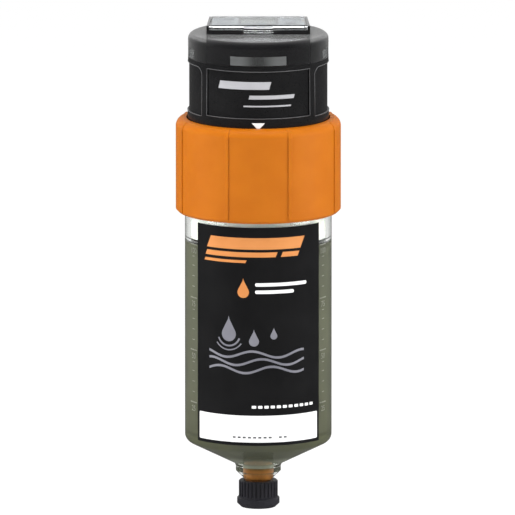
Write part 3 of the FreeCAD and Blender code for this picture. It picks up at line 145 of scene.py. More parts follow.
def noise(nodes, links, scale, detail=3.0, stretch=None):
    """Noise over the object's own coordinates, in features per metre."""
    place = nodes.new("ShaderNodeTexCoord")
    texture = nodes.new("ShaderNodeTexNoise")
    texture.inputs["Scale"].default_value = scale
    texture.inputs["Detail"].default_value = detail
    if stretch:
        mapping = nodes.new("ShaderNodeMapping")
        mapping.inputs["Scale"].default_value = stretch
        links.new(place.outputs["Object"], mapping.inputs["Vector"])
        links.new(mapping.outputs["Vector"], texture.inputs["Vector"])
    else:
        links.new(place.outputs["Object"], texture.inputs["Vector"])
    return texture.outputs["Fac"]


def ramp_of(nodes, links, factor, stops, kind="LINEAR"):
    """A colour ramp over a factor, from (share, colour) stops in rising order."""
    ramp = nodes.new("ShaderNodeValToRGB")
    ramp.color_ramp.interpolation = kind
    elements = ramp.color_ramp.elements
    for share, _ in stops[1:-1]:
        elements.new(share)
    for element, (share, colour) in zip(elements, stops):
        element.position = share
        element.color = (*colour, 1)
    links.new(factor, ramp.inputs["Fac"])
    return ramp.outputs["Color"]


def mixed(nodes, links, factor, first, second, low=0.35, high=0.65):
    """Two colours mixed by a factor, with the factor's middle range spread out."""
    return ramp_of(nodes, links, factor, [(low, first), (high, second)])


def ranged(nodes, links, factor, low, high):
    """Noise spread out between two values."""
    return remapped(nodes, links, factor, 0.3, 0.7, low, high)


def blended(nodes, links, kind, factor, first, second):
    """Two colour sockets joined by a Mix node."""
    node = nodes.new("ShaderNodeMix")
    node.data_type = "RGBA"
    node.blend_type = kind
    feed(links, factor, node.inputs["Factor"])
    links.new(first, node.inputs[MIX_FIRST])
    links.new(second, node.inputs[MIX_SECOND])
    return node.outputs[MIX_RESULT]


def bumped(nodes, links, height, depth, normal=None):
    """A normal with small relief, over another normal where one is given."""
    bump = nodes.new("ShaderNodeBump")
    bump.inputs["Distance"].default_value = depth * MM
    links.new(height, bump.inputs["Height"])
    if normal:
        links.new(normal, bump.inputs["Normal"])
    return bump.outputs["Normal"]


def layered(nodes, links, factor, first, second):
    """Two shaders mixed by a factor."""
    node = nodes.new("ShaderNodeMixShader")
    feed(links, factor, node.inputs["Fac"])
    links.new(first, node.inputs[1])
    links.new(second, node.inputs[2])
    return node.outputs["Shader"]


def white_light(nodes, links, kind, strength):
    """A white emission or background of a strength."""
    node = nodes.new(kind)
    node.inputs["Color"].default_value = WHITE
    feed(links, strength, node.inputs["Strength"])
    return node.outputs[0]


def rounded_normal(nodes, links, radius):
    bevel = nodes.new("ShaderNodeBevel")
    bevel.samples = 4
    bevel.inputs["Radius"].default_value = radius * MM
    return bevel.outputs["Normal"]


# Kinds of material

TOP_GRAIN = 1200


def moulded(name, first, second, rough, grain=1500, depth=0.02, patch=70, edge=0.0, top=None, **sockets):
    """A moulded or printed surface: two close colours in soft patches, and a fine grain in gloss and bump.
    With top, faces that look up have a coarser grain, and their paler colour is a painted highlight of the
    light they catch at a low angle."""
    material, nodes, links, shader = new_material(name)
    fine = noise(nodes, links, grain)
    colour = mixed(nodes, links, noise(nodes, links, patch), first, second)
    # Upward faces: a coarser real grain, made paler as a painted highlight
    if top:
        dark, pale, tilt = top
        top_grain_and_painted_highlight = mixed(nodes, links, noise(nodes, links, TOP_GRAIN), dark, pale)
        colour = blended(nodes, links, "MIX", upward(nodes, links, *tilt), colour, top_grain_and_painted_highlight)
    links.new(colour, shader.inputs["Base Color"])
    links.new(ranged(nodes, links, fine, *rough), shader.inputs["Roughness"])
    normal = rounded_normal(nodes, links, edge) if edge else None
    links.new(bumped(nodes, links, fine, depth, normal), shader.inputs["Normal"])
    for socket, value in sockets.items():
        shader.inputs[socket.replace("_", " ")].default_value = value
    return material


def clear(name, tint, rough, ior, shade, edge=0.0):
    """A clear plastic that lets lamp light through to what it holds."""
    material, nodes, links, shader = new_material(name)
    pale = [min(1.0, c * 1.03) for c in tint]
    links.new(mixed(nodes, links, noise(nodes, links, 45), tint, pale), shader.inputs["Base Color"])
    links.new(ranged(nodes, links, noise(nodes, links, 900), *rough), shader.inputs["Roughness"])
    shader.inputs["IOR"].default_value = ior
    shader.inputs["Transmission Weight"].default_value = 1.0
    if edge:
        links.new(rounded_normal(nodes, links, edge), shader.inputs["Normal"])
    passing = nodes.new("ShaderNodeBsdfTransparent")
    passing.inputs["Color"].default_value = (*shade, 1)
    path = nodes.new("ShaderNodeLightPath")
    shadow = path.outputs["Is Shadow Ray"]
    both = layered(nodes, links, shadow, shader.outputs["BSDF"], passing.outputs["BSDF"])
    links.new(both, nodes["Material Output"].inputs["Surface"])
    return material


def metal(name, first, second, rough, grain=400, stretch=(1, 1, 12), depth=0.01):
    """Turned or drawn metal, with its fine lines along the axis."""
    material, nodes, links, shader = new_material(name)
    lines = noise(nodes, links, grain, stretch=stretch)
    links.new(mixed(nodes, links, lines, first, second), shader.inputs["Base Color"])
    links.new(ranged(nodes, links, lines, *rough), shader.inputs["Roughness"])
    links.new(bumped(nodes, links, lines, depth), shader.inputs["Normal"])
    shader.inputs["Metallic"].default_value = 1.0
    return material


def cell_material(name, low, high):
    """A battery cell's sleeve with a pale band under its top and bare metal ends, by height."""
    material, nodes, links, shader = new_material(name)
    stops = [
        (0.0, (0.45, 0.45, 0.44)), (0.015, (0.035, 0.12, 0.055)), (0.72, (0.55, 0.42, 0.22)),
        (0.965, (0.5, 0.5, 0.49)),
    ]
    bands = ramp_of(nodes, links, height_of(nodes, links, low, high), stops, "CONSTANT")
    links.new(bands, shader.inputs["Base Color"])
    links.new(ranged(nodes, links, noise(nodes, links, 900), 0.25, 0.35), shader.inputs["Roughness"])
    shader.inputs["Metallic"].default_value = 0.5
    return material


def grease_material(name, stops, low, high):
    """Grease: a colour that changes with height, smeared by streaks and small folds."""
    material, nodes, links, shader = new_material(name)
    colour = ramp_of(nodes, links, height_of(nodes, links, low, high), stops)
    streaks = noise(nodes, links, 60, detail=5.0, stretch=(1, 1, 0.35))
    smears = mixed(nodes, links, streaks, (0.86, 0.86, 0.86), (1.08, 1.08, 1.02))
    links.new(blended(nodes, links, "MULTIPLY", 1.0, colour, smears), shader.inputs["Base Color"])
    links.new(ranged(nodes, links, streaks, 0.38, 0.5), shader.inputs["Roughness"])
    links.new(bumped(nodes, links, streaks, 0.15), shader.inputs["Normal"])
    return material


# How far from an axis a window's dark middle stops, and where its pale ends, a painted reflection, are
# reached
WINDOW_MIDDLE, WINDOW_END = 0.5, 9


def window_material(name, middle, ends):
    """Smoked plastic, darker at each window's middle, where the distance to an axis is least, and paler
    towards its ends as a painted reflection.
    """
    material, nodes, links, shader = new_material(name)
    across = worked(nodes, links, "ABSOLUTE", coordinate(nodes, links, "Object", "X"))
    along = worked(nodes, links, "ABSOLUTE", coordinate(nodes, links, "Object", "Y"))
    least = worked(nodes, links, "MINIMUM", across, along)
    spread = remapped(nodes, links, least, WINDOW_MIDDLE * MM, WINDOW_END * MM, kind="SMOOTHSTEP")
    # Painted reflection: the window's colour pales from its middle towards its ends
    colour = ramp_of(nodes, links, spread, [(0.0, middle), (1.0, ends)])
    links.new(colour, shader.inputs["Base Color"])
    links.new(ranged(nodes, links, noise(nodes, links, 500), 0.16, 0.24), shader.inputs["Roughness"])
    links.new(rounded_normal(nodes, links, 0.2), shader.inputs["Normal"])
    shader.inputs["Transmission Weight"].default_value = 0.35
    shader.inputs["IOR"].default_value = 1.49
    return material


# The object's materials

clear_plastic = clear("clear_canister", (0.93, 0.95, 0.92), (0.02, 0.05), 1.49, (0.93, 0.95, 0.92))
lid_clear = clear(
    "clear_lid_plastic", (0.90, 0.92, 0.93), (0.004, 0.012), 1.49, (0.9, 0.92, 0.94), edge=0.25,
)
# The guide's windows carry a painted reflection towards their ends
guide_clear = window_material("smoked_guide", (0.05, 0.052, 0.052), (0.15, 0.155, 0.155))
label_black = moulded(
    "label_black", (0.007, 0.007, 0.0075), (0.009, 0.009, 0.0095), (0.36, 0.46), grain=2200, depth=0.006,
    Specular_IOR_Level=0.2,
)
label_white = moulded(
    "label_white", (0.86, 0.865, 0.87), (0.9, 0.9, 0.895), (0.45, 0.55), grain=2500, depth=0.004,
)
label_orange = moulded(
    "label_orange", (0.60, 0.22, 0.055), (0.66, 0.26, 0.07), (0.4, 0.5), grain=2500, depth=0.004,
)
label_grey = moulded(
    "label_grey", (0.17, 0.17, 0.20), (0.22, 0.22, 0.25), (0.4, 0.5), grain=2500, depth=0.004,
)
rubber = moulded("seal_rubber", (0.012, 0.012, 0.012), (0.018, 0.018, 0.018), (0.55, 0.7), grain=2600)
cap_plastic = moulded(
    "cap_plastic", (0.015, 0.0145, 0.019), (0.022, 0.0212, 0.027), (0.4, 0.52), grain=1800, edge=0.2,
)
white_plastic = moulded(
    "piston_plastic", (0.80, 0.80, 0.78), (0.85, 0.85, 0.83), (0.35, 0.45), grain=1500, edge=0.25,
    Subsurface_Weight=0.1, Subsurface_Scale=0.002,
)
spindle_plastic = moulded(
    "spindle_plastic", (0.72, 0.72, 0.69), (0.78, 0.78, 0.75), (0.28, 0.36), grain=1600,
)
gear_plastic = moulded(
    "gear_plastic", (0.76, 0.75, 0.71), (0.82, 0.81, 0.77), (0.34, 0.42), grain=1800, edge=0.08,
)
frame_plastic = moulded(
    "frame_plastic", (0.05, 0.05, 0.053), (0.065, 0.065, 0.068), (0.5, 0.6), grain=1500, edge=0.2,
)
housing_plastic = moulded(
    "housing_plastic", (0.006, 0.006, 0.0065), (0.0085, 0.0085, 0.009), (0.26, 0.36), grain=1700,
    depth=0.008, edge=0.35,
)
# The cover's pale top colours are a painted highlight on its upward faces
cover_plastic = moulded(
    "cover_plastic", (0.005, 0.0052, 0.0055), (0.012, 0.0122, 0.0125), (0.32, 0.45), grain=1300,
    depth=0.05, edge=0.3, top=((0.045, 0.045, 0.045), (0.14, 0.14, 0.14), (0.4, 0.7)),
    Sheen_Weight=0.28, Sheen_Roughness=0.4,
)
# The strap's paler flat top is a painted reflection
bezel_plastic = moulded(
    "bezel_plastic", (0.005, 0.005, 0.0055), (0.007, 0.007, 0.0075), (0.13, 0.2), grain=1200,
    depth=0.003, edge=0.3, top=((0.018, 0.018, 0.018), (0.024, 0.024, 0.024), (0.9, 0.98)),
    Coat_Weight=0.3, Coat_Roughness=0.08, Sheen_Weight=0.24, Sheen_Roughness=0.4,
)
ring_plastic = moulded(
    "ring_plastic", (0.44, 0.118, 0.003), (0.47, 0.13, 0.004), (0.4, 0.5), grain=1500, depth=0.012,
    edge=0.4, Subsurface_Weight=0.06, Subsurface_Scale=0.0015, Specular_IOR_Level=0.22,
)
panel_plastic = moulded(
    "panel_silver", (0.27, 0.29, 0.315), (0.31, 0.33, 0.355), (0.3, 0.38), grain=2600, edge=0.2,
    Metallic=0.35,
)
display_glass = moulded(
    "display_glass", (0.17, 0.195, 0.18), (0.20, 0.23, 0.21), (0.1, 0.16), grain=900, depth=0.002,
    Coat_Weight=0.5, Coat_Roughness=0.05,
)
board_green = moulded(
    "board_green", (0.02, 0.13, 0.06), (0.03, 0.17, 0.08), (0.3, 0.42), grain=700, patch=400,
)
lamp_plastic = moulded("lamp_plastic", (0.82, 0.8, 0.62), (0.88, 0.86, 0.7), (0.2, 0.3), grain=900)
switch_plastic = moulded("switch_plastic", (0.03, 0.03, 0.03), (0.04, 0.04, 0.04), (0.5, 0.6))
button_plastic = moulded(
    "button_plastic", (0.09, 0.095, 0.10), (0.12, 0.125, 0.13), (0.38, 0.48), grain=1700, edge=0.3,
)
cell_wrap = cell_material("cell_wrap", foot_of("battery_cell_back"), top_of("battery_cell_back"))
mark_plastic = moulded(
    "raised_marks", (0.17, 0.175, 0.14), (0.21, 0.215, 0.18), (0.25, 0.35), grain=1500,
)
# A pale grey: on the housing's beads a painted highlight of the panel edges, on the label the print of its
# rules
bead_highlight_and_rule_ink = moulded(
    "panel_bead", (0.08, 0.08, 0.083), (0.10, 0.10, 0.103), (0.28, 0.36), grain=1500,
)
ink_grey = moulded(
    "ink_grey", (0.36, 0.36, 0.38), (0.42, 0.42, 0.44), (0.5, 0.6), grain=2500, depth=0.003,
)
ink_dark = moulded(
    "ink_dark", (0.05, 0.06, 0.055), (0.07, 0.08, 0.075), (0.3, 0.4), grain=2500, depth=0.003,
)
amber_lens = moulded(
    "amber_lens", (0.22, 0.14, 0.05), (0.26, 0.17, 0.06), (0.2, 0.3), grain=1500, Coat_Weight=0.5,
)
brass = metal("turned_brass", (0.62, 0.42, 0.17), (0.7, 0.5, 0.22), (0.22, 0.34))
steel = metal("brushed_steel", (0.48, 0.48, 0.49), (0.58, 0.58, 0.59), (0.25, 0.38))

# Heights between which the grease changes colour
BODY_SHADES = (30, 126)
NECK_SHADES = (10, 32)
grease_body = grease_material(
    "grease_body",
    [(0.0, (0.062, 0.064, 0.034)), (0.25, (0.085, 0.087, 0.057)), (1.0, (0.10, 0.104, 0.072))],
    *BODY_SHADES,
)
grease_neck = grease_material(
    "grease_neck",
    [
        (0.0, (0.03, 0.012, 0.004)), (0.14, (0.12, 0.045, 0.01)), (0.21, (0.36, 0.14, 0.025)),
        (0.33, (0.26, 0.105, 0.02)), (0.39, (0.07, 0.045, 0.012)), (0.425, (0.19, 0.20, 0.15)),
        (0.70, (0.17, 0.18, 0.135)), (0.80, (0.075, 0.078, 0.042)), (1.0, (0.075, 0.078, 0.042)),
    ],
    *NECK_SHADES,
)

FINISH = {
    "canister": clear_plastic, "canister_label": label_black, "canister_gasket": rubber,
    "outlet_plug": cap_plastic, "piston": white_plastic, "piston_seal": rubber,
    "output_gear": gear_plastic, "second_gear": gear_plastic, "first_gear": gear_plastic,
    "motor_pinion": brass, "motor_shaft": steel, "first_gear_axle": steel, "second_gear_axle": steel,
    "output_bush": brass, "drive_base": frame_plastic, "gear_top_plate": frame_plastic,
    "gear_plate_screws": steel, "board_screws": steel, "drive_motor": steel, "battery_tray": frame_plastic,
    "battery_cell_back": cell_wrap, "battery_cell_right": cell_wrap, "battery_cell_left": cell_wrap,
    "battery_contacts": brass, "circuit_board": board_green, "status_leds": lamp_plastic,
    "lcd_module": display_glass, "set_switch": switch_plastic, "set_button": button_plastic,
    "drive_housing": housing_plastic, "retaining_ring": ring_plastic, "top_cover": cover_plastic,
    "light_guide": guide_clear, "lid_pin": steel, "display_bezel": bezel_plastic,
    "display_panel": panel_plastic, "clear_lid": lid_clear, "drive_spindle": spindle_plastic,
    "grease_charge": grease_body,
}
for name, item in cad.items():
    item.data.materials.clear()
    item.data.materials.append(FINISH[name])


# Building pieces

# Wrapped print is cut into strips a little beside the round figures where its corners lie
CUT_SHIFT = 0.013


def add_piece(name, mesh, material, body, smooth=False):
    item = bpy.data.objects.new(name, mesh)
    bpy.context.scene.collection.objects.link(item)
    mesh.materials.clear()
    mesh.materials.append(material)
    if smooth:
        mesh.shade_smooth()
    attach(item, body)
    return item


def mesh_from(name, bm):
    bmesh.ops.recalc_face_normals(bm, faces=bm.faces)
    mesh = bpy.data.meshes.new(name)
    bm.to_mesh(mesh)
    bm.free()
    return mesh


def joined(bm, low, high):
    """Quads between two rings of as many vertices."""
    faces = []
    for i in range(len(low)):
        j = (i + 1) % len(low)
        faces.append(bm.faces.new([low[i], low[j], high[j], high[i]]))
    return faces


def lofted(name, rings):
    """A solid through rings of (x, y, z) points, with its two ends closed."""
    bm = bmesh.new()
    grid = [[bm.verts.new((x * MM, y * MM, z * MM)) for x, y, z in ring] for ring in rings]
    for low, high in zip(grid, grid[1:]):
        joined(bm, low, high)
    bm.faces.new(list(reversed(grid[0])))
    bm.faces.new(grid[-1])
    return mesh_from(name, bm)


def turned_mesh(name, profile, segments=128, closed=True):
    """A solid of revolution from (radius, z) corners; a closed profile is a ring."""
    bm = bmesh.new()
    rings = []
    for radius, z in profile:
        if radius == 0:
            rings.append([bm.verts.new((0, 0, z * MM))])
            continue
        rings.append([
            bm.verts.new((
                radius * MM * math.cos(2 * math.pi * i / segments),
                radius * MM * math.sin(2 * math.pi * i / segments),
                z * MM,
            ))
            for i in range(segments)
        ])
    count = len(rings) if closed else len(rings) - 1
    for k in range(count):
        low, high = rings[k], rings[(k + 1) % len(rings)]
        for i in range(segments):
            j = (i + 1) % segments
            corners = [low[i % len(low)], low[j % len(low)], high[j % len(high)], high[i % len(high)]]
            unique = list(dict.fromkeys(corners))
            if len(unique) > 2:
                bm.faces.new(unique)
    return mesh_from(name, bm)


def raised_by(bm, thickness):
    """Flat faces given a thickness: the copies move up and the first ones stay as the underside."""
    raised = bmesh.ops.extrude_face_region(bm, geom=bm.faces[:], use_keep_orig=True)
    for item in raised["geom"]:
        if isinstance(item, bmesh.types.BMVert):
            item.co.z += thickness


def wrapped(name, shapes, radius, thickness, azimuth=FRONT, step=1.5):
    """Flat shapes, (across, up) corner lists, laid as thin raised print around a cylinder."""
    bm = bmesh.new()
    for corners in shapes:
        bm.faces.new([bm.verts.new((across, up, 0)) for across, up in corners])
    reach = max(abs(v.co.x) for v in bm.verts)
    place = -step * math.ceil(reach / step)
    while place <= reach:
        bmesh.ops.bisect_plane(
            bm, geom=bm.verts[:] + bm.edges[:] + bm.faces[:], dist=1e-5,
            plane_co=(place + CUT_SHIFT, 0, 0), plane_no=(1, 0, 0),
        )
        place += step
    raised_by(bm, thickness)
    middle = math.radians(azimuth)
    for v in bm.verts:
        r = radius + v.co.z
        angle = middle + v.co.x / radius
        v.co = Vector((r * math.cos(angle) * MM, r * math.sin(angle) * MM, v.co.y * MM))
    return mesh_from(name, bm)


def flat_print(name, shapes, z, thickness):
    """Flat shapes, (x, y) corner lists, as thin raised print on a level surface."""
    bm = bmesh.new()
    for corners in shapes:
        bm.faces.new([bm.verts.new((x * MM, y * MM, z * MM)) for x, y in corners])
    raised_by(bm, thickness * MM)
    return mesh_from(name, bm)


def arc(cx, cy, radius, start, end, steps):
    """Points along an arc, from one angle to another in degrees."""
    angles = [math.radians(start + (end - start) * k / steps) for k in range(steps + 1)]
    return [(cx + radius * math.cos(angle), cy + radius * math.sin(angle)) for angle in angles]


def block(left, right, low, high):
    return [(left, low), (right, low), (right, high), (left, high)]


def soft_block(left, right, low, high, corner, steps=5):
    """A rectangle with rounded corners."""
    points = []
    for cx, cy, start in (
        (right - corner, high - corner, 0), (left + corner, high - corner, 90),
        (left + corner, low + corner, 180), (right - corner, low + corner, 270),
    ):
        points += arc(cx, cy, corner, start, start + 90, steps)
    return points


def lifted(shapes, height):
    """Flat shapes moved up."""
    return [[(across, up + height) for across, up in corners] for corners in shapes]


def slanted(left, right, low, high, lean):
    """A block whose upper edge is shifted sideways."""
    return [(left, low), (right, low), (right + lean, high), (left + lean, high)]


def drop(cx, low, width, height, steps=20):
    """A grease drop: a round foot that draws up to a point."""
    r = width / 2
    neck, neck_height = 0.12 * r, low + 0.86 * height
    tip = [(cx + neck, neck_height), (cx, low + height), (cx - neck, neck_height)]
    return arc(cx, low + r, r, -205, 25, steps) + tip


def band_of(points, width):
    """Quads along a line of points, as separate shapes that share their ends."""
    half = width / 2
    return [
        [(x0, y0 - half), (x1, y1 - half), (x1, y1 + half), (x0, y0 + half)]
        for (x0, y0), (x1, y1) in zip(points, points[1:])
    ]


def ring_of(cx, cy, outer, inner, start=0, end=360, steps=36):
    """An arc-shaped band as quads."""
    near = arc(cx, cy, inner, start, end, steps)
    far = arc(cx, cy, outer, start, end, steps)
    return [[near[k], far[k], far[k + 1], near[k + 1]] for k in range(steps)]


# A font's size over the height of its figures
FONT_SHARE = 1.4


def figures(text, height, cx, cy):
    """Scale figures as flat shapes, centred on a point."""
    curve = bpy.data.curves.new("figures_source", "FONT")
    curve.body = text
    curve.size = height * FONT_SHARE
    curve.align_x = "CENTER"
    curve.align_y = "CENTER"
    curve.resolution_u = 3
    source = bpy.data.objects.new("figures_source", curve)
    bpy.context.scene.collection.objects.link(source)
    bpy.context.view_layer.update()
    mesh = bpy.data.meshes.new_from_object(source)
    shapes = [
        [(cx + mesh.vertices[i].co.x, cy + mesh.vertices[i].co.y) for i in face.vertices]
        for face in mesh.polygons
    ]
    bpy.data.objects.remove(source)
    return shapes


def tube(name, points, radius):
    """A thin bead along a closed line of points, in millimetres."""
    curve = bpy.data.curves.new(name + "_line", "CURVE")
    curve.dimensions = "3D"
    curve.bevel_depth = radius * MM
    curve.bevel_resolution = 2
    spline = curve.splines.new("POLY")
    spline.points.add(len(points) - 1)
    for point, place in zip(spline.points, points):
        point.co = (place[0] * MM, place[1] * MM, place[2] * MM, 1)
    spline.use_cyclic_u = True
    source = bpy.data.objects.new(name + "_source", curve)
    bpy.context.scene.collection.objects.link(source)
    bpy.context.view_layer.update()
    mesh = bpy.data.meshes.new_from_object(source)
    bpy.data.objects.remove(source)
    return mesh


def thread_depth(phase, crest, flank):
    """A trapezoidal thread over one pitch: 0 on the crest, 1 at the root, sloping over each flank."""
    phase %= 1.0
    if phase < crest:
        return 0.0
    if phase < crest + flank:
        return (phase - crest) / flank
    if phase < 1.0 - flank:
        return 1.0
    return (1.0 - phase) / flank


# Canister: the CAD shape, with the outlet's plain wall swapped for its pipe thread

OUTLET_R = 6.58
OUTLET_PITCH = 1.337
OUTLET_DEPTH = 0.62
OUTLET_CREST, OUTLET_FLANK = 0.2, 0.3
OUTLET_MARGIN = 0.04
# The thread starts and ends over these shares of its pitch
RUN_IN, RUN_OUT = 0.5, 0.8
SHARP = math.radians(18)
WELD = 0.001
WALL_TOLERANCE = 0.002


def on_wall(v):
    return abs(math.hypot(v.co.x, v.co.y) - OUTLET_R * MM) < WALL_TOLERANCE * MM


def thread_rings(bm, first, last, columns, steps):
    """Rings of vertices from one height to another, drawn in by a thread that fades at both ends."""
    pitch = OUTLET_PITCH * MM
    count = int(round((last - first) / pitch * steps))
    rings = []
    for row in range(count + 1):
        z = first + (last - first) * row / count
        fade = min(1.0, (z - first) / (RUN_IN * pitch), (last - z) / (RUN_OUT * pitch))
        ring = []
        for i in range(columns):
            angle = 2 * math.pi * i / columns
            depth = OUTLET_DEPTH * fade * thread_depth(z / pitch - i / columns, OUTLET_CREST, OUTLET_FLANK)
            r = (OUTLET_R - depth) * MM
            ring.append(bm.verts.new((r * math.cos(angle), r * math.sin(angle), z)))
        rings.append(ring)
    return rings


def threaded_copy(source, name, columns=72, steps=10):
    """The node's own mesh, copied, with a thread on the cylinder of the outlet's radius."""
    bm = bmesh.new()
    bm.from_mesh(source)
    bmesh.ops.remove_doubles(bm, verts=bm.verts, dist=WELD * MM)
    wall = [face for face in bm.faces if all(on_wall(v) for v in face.verts)]
    bmesh.ops.delete(bm, geom=wall, context="FACES")
    open_edges = [edge for edge in bm.edges if edge.is_boundary]
    heights = [v.co.z for edge in open_edges for v in edge.verts]
    bottom, top = min(heights), max(heights)
    middle = (bottom + top) / 2
    lower = [edge for edge in open_edges if edge.verts[0].co.z < middle]
    upper = [edge for edge in open_edges if edge.verts[0].co.z > middle]
    margin = OUTLET_MARGIN * MM
    grid = thread_rings(bm, bottom + margin, top - margin, columns, steps)
    threads = set()
    for low, high in zip(grid, grid[1:]):
        threads.update(joined(bm, low, high))
    for loop, ring in ((lower, grid[0]), (upper, grid[-1])):
        ring_edges = [bm.edges.get((ring[i], ring[(i + 1) % columns])) for i in range(columns)]
        bmesh.ops.bridge_loops(bm, edges=loop + ring_edges)
    bmesh.ops.recalc_face_normals(bm, faces=bm.faces)
    for edge in bm.edges:
        in_thread = all(face in threads for face in edge.link_faces)
        edge.smooth = in_thread or edge.calc_face_angle(0) < SHARP
    mesh = bpy.data.meshes.new(name)
    bm.to_mesh(mesh)
    bm.free()
    return mesh


threaded = add_piece(
    "threaded_canister", threaded_copy(cad["canister"].data, "threaded_canister"), clear_plastic,
    "lubricator", smooth=True,
)
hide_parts("canister")

# Grease: it wets the wall, so it reaches a hair into the clear plastic

GREASE_LOW = 35.5
GREASE_TOP = top_of("grease_charge")
WALL_REACH = 0.15
GREASE_RADIUS = box_edge("grease_charge", 1, 0) + WALL_REACH
SCREW_HOLE = 5.3
SCREW_HOLE_LOW = GREASE_LOW + 0.6
COLUMN_ROWS = 40
OUTLET_FOOT = foot_of("grease_charge")
OUTLET_BORE = 4.7
CONE_LOW = 20.66
CONE_RADIUS, CONE_HIGH = 29.45, 33.1
column_profile = [(0, GREASE_LOW)]
for k in range(COLUMN_ROWS + 1):
    column_profile.append((GREASE_RADIUS, GREASE_LOW + (GREASE_TOP - GREASE_LOW) * k / COLUMN_ROWS))
column_profile += [(SCREW_HOLE, GREASE_TOP), (SCREW_HOLE, SCREW_HOLE_LOW), (0, SCREW_HOLE_LOW)]
grease_column = add_piece(
    "grease_column", turned_mesh("grease_column", column_profile, closed=False), grease_body,
    "lubricator", smooth=True,
)
neck_profile = [
    (0, OUTLET_FOOT), (OUTLET_BORE, OUTLET_FOOT), (OUTLET_BORE, CONE_LOW), (CONE_RADIUS, CONE_HIGH),
    (GREASE_RADIUS, GREASE_LOW - 0.1), (GREASE_RADIUS, GREASE_LOW), (0, GREASE_LOW),
]
grease_outlet = add_piece(
    "grease_outlet", turned_mesh("grease_outlet", neck_profile, closed=False), grease_neck,
    "lubricator", smooth=True,
)
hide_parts("grease_charge")
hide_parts("grease_charge")
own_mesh(grease_column)

# The seal's two lips press on the wall

SEAL_FOOT = foot_of("piston_seal")
LIP_ROOT = 30.3
LIP_REACH = 0.05
LIP_TIP = round(box_edge("piston_seal", 1, 0) + LIP_REACH, 2)
for name, rise in (("lower_seal_lip", 0.02), ("upper_seal_lip", 1.5)):
    low = SEAL_FOOT + rise
    lip_profile = [(LIP_ROOT, low), (LIP_TIP, low + 0.08), (LIP_TIP, low + 0.48), (LIP_ROOT, low + 0.56)]
    add_piece(name, turned_mesh(name, lip_profile, 160), rubber, "piston")

# Label: white writing field, orange and grey print in plain shapes, laid out from the label's foot

RIM_RISE = 0.35
BARREL_R = round(box_edge("canister", 1, 0) - RIM_RISE, 2)
LABEL_THICKNESS = 0.2
LABEL_R = BARREL_R + LABEL_THICKNESS
LABEL_FOOT = foot_of("canister_label")
INK = 0.02
label_pieces = {
    "label_field": (label_white, [soft_block(-31.1, 31.1, 1.5, 14.0, 0.6)]),
    "label_stripes": (label_orange, [
        slanted(-26.0, 20.5, 91.6, 97.0, 2.4),
        slanted(-26.9, 8.0, 88.0, 90.3, 1.0),
        slanted(10.5, 19.0, 88.0, 90.3, 1.0),
        slanted(-27.6, -6.0, 85.3, 86.6, 0.6),
    ]),
    "label_drop": (label_orange, [drop(-7.0, 69.0, 5.4, 9.2)]),
    "label_lines": (label_white, [
        soft_block(-1.5, 24.0, 74.4, 76.0, 0.7),
        soft_block(-1.5, 17.0, 71.0, 72.6, 0.7),
    ]),
    "label_dots": (label_white, [
        soft_block(-3.0 + 2.9 * k, -1.0 + 2.9 * k, 17.4, 18.7, 0.3) for k in range(11)
    ]),
    "field_rules": (bead_highlight_and_rule_ink, [
        block(-12.0 + 2.4 * k, -10.6 + 2.4 * k, 3.4, 4.2) for k in range(11) if k != 8
    ]),
}
WAVE_LEFT, WAVE_LENGTH, WAVE_STEPS = -24.5, 47.0, 44
WAVE_RISE, WAVE_BEND, WAVE_LAG = 1.5, 3.9, 4.5
motif = []
for row, height in enumerate((35.4, 39.0, 42.6)):
    line = []
    for k in range(WAVE_STEPS + 1):
        across = WAVE_LEFT + WAVE_LENGTH * k / WAVE_STEPS
        line.append((across, height + WAVE_RISE * math.sin((across + WAVE_LAG * row) / WAVE_BEND)))
    motif += band_of(line, 1.1)
motif.append(drop(-14.0, 48.4, 7.0, 12.0))
motif.append(drop(-2.0, 46.4, 4.6, 8.0))
motif.append(drop(7.2, 49.6, 3.2, 5.6))
for outer, inner, start, end in ((5.9, 5.1, 200, 340), (7.7, 7.1, 215, 325)):
    motif += ring_of(-14.0, 51.9, outer, inner, start, end, 24)
label_pieces["label_motif"] = (label_grey, motif)
for name, (material, shapes) in label_pieces.items():
    radius = LABEL_R + (INK if name == "field_rules" else 0)
    printed = wrapped(name, lifted(shapes, LABEL_FOOT), radius, INK)
    add_piece(name, printed, material, "lubricator")

# Scale on both sides of the label, raised on the barrel, full at the piston's foot

SCALE_AZIMUTH = 61.5
FIGURE_HEIGHT, FIGURE_DROP = 2.6, 3.0
LONG_MARK, SHORT_MARK = 2.9, 1.0
# The first short mark sits lower than the others' step, clear of the figures
MARK_STEP, FIRST_STEP = 4.9, 5.6
MARK_HEIGHTS = {100: SEAL_FOOT, 75: 100.7, 50: 76.3, 25: 51.8}


def scale_mark(half_length, z, half_width):
    return block(-half_length, half_length, z - half_width, z + half_width)


for side, azimuth in (("left", FRONT - SCALE_AZIMUTH), ("right", FRONT + SCALE_AZIMUTH)):
    marks = []
    for share, z in MARK_HEIGHTS.items():
        marks.append(scale_mark(LONG_MARK, z, 0.25))
        marks += figures(str(share), FIGURE_HEIGHT, 0, z - FIGURE_DROP)
        if share > min(MARK_HEIGHTS):
            for down in (FIRST_STEP, 2 * MARK_STEP, 3 * MARK_STEP, 4 * MARK_STEP):
                marks.append(scale_mark(SHORT_MARK, z - down, 0.15))
    name = "scale_marks_" + side
    add_piece(
        name, wrapped(name, marks, BARREL_R, 0.12, azimuth, 0.8), mark_plastic, "lubricator",
    )

# Housing: beads around its panels, in a pale grey that is a painted highlight of the panel edges, and the
# print, laid out from its shoulder

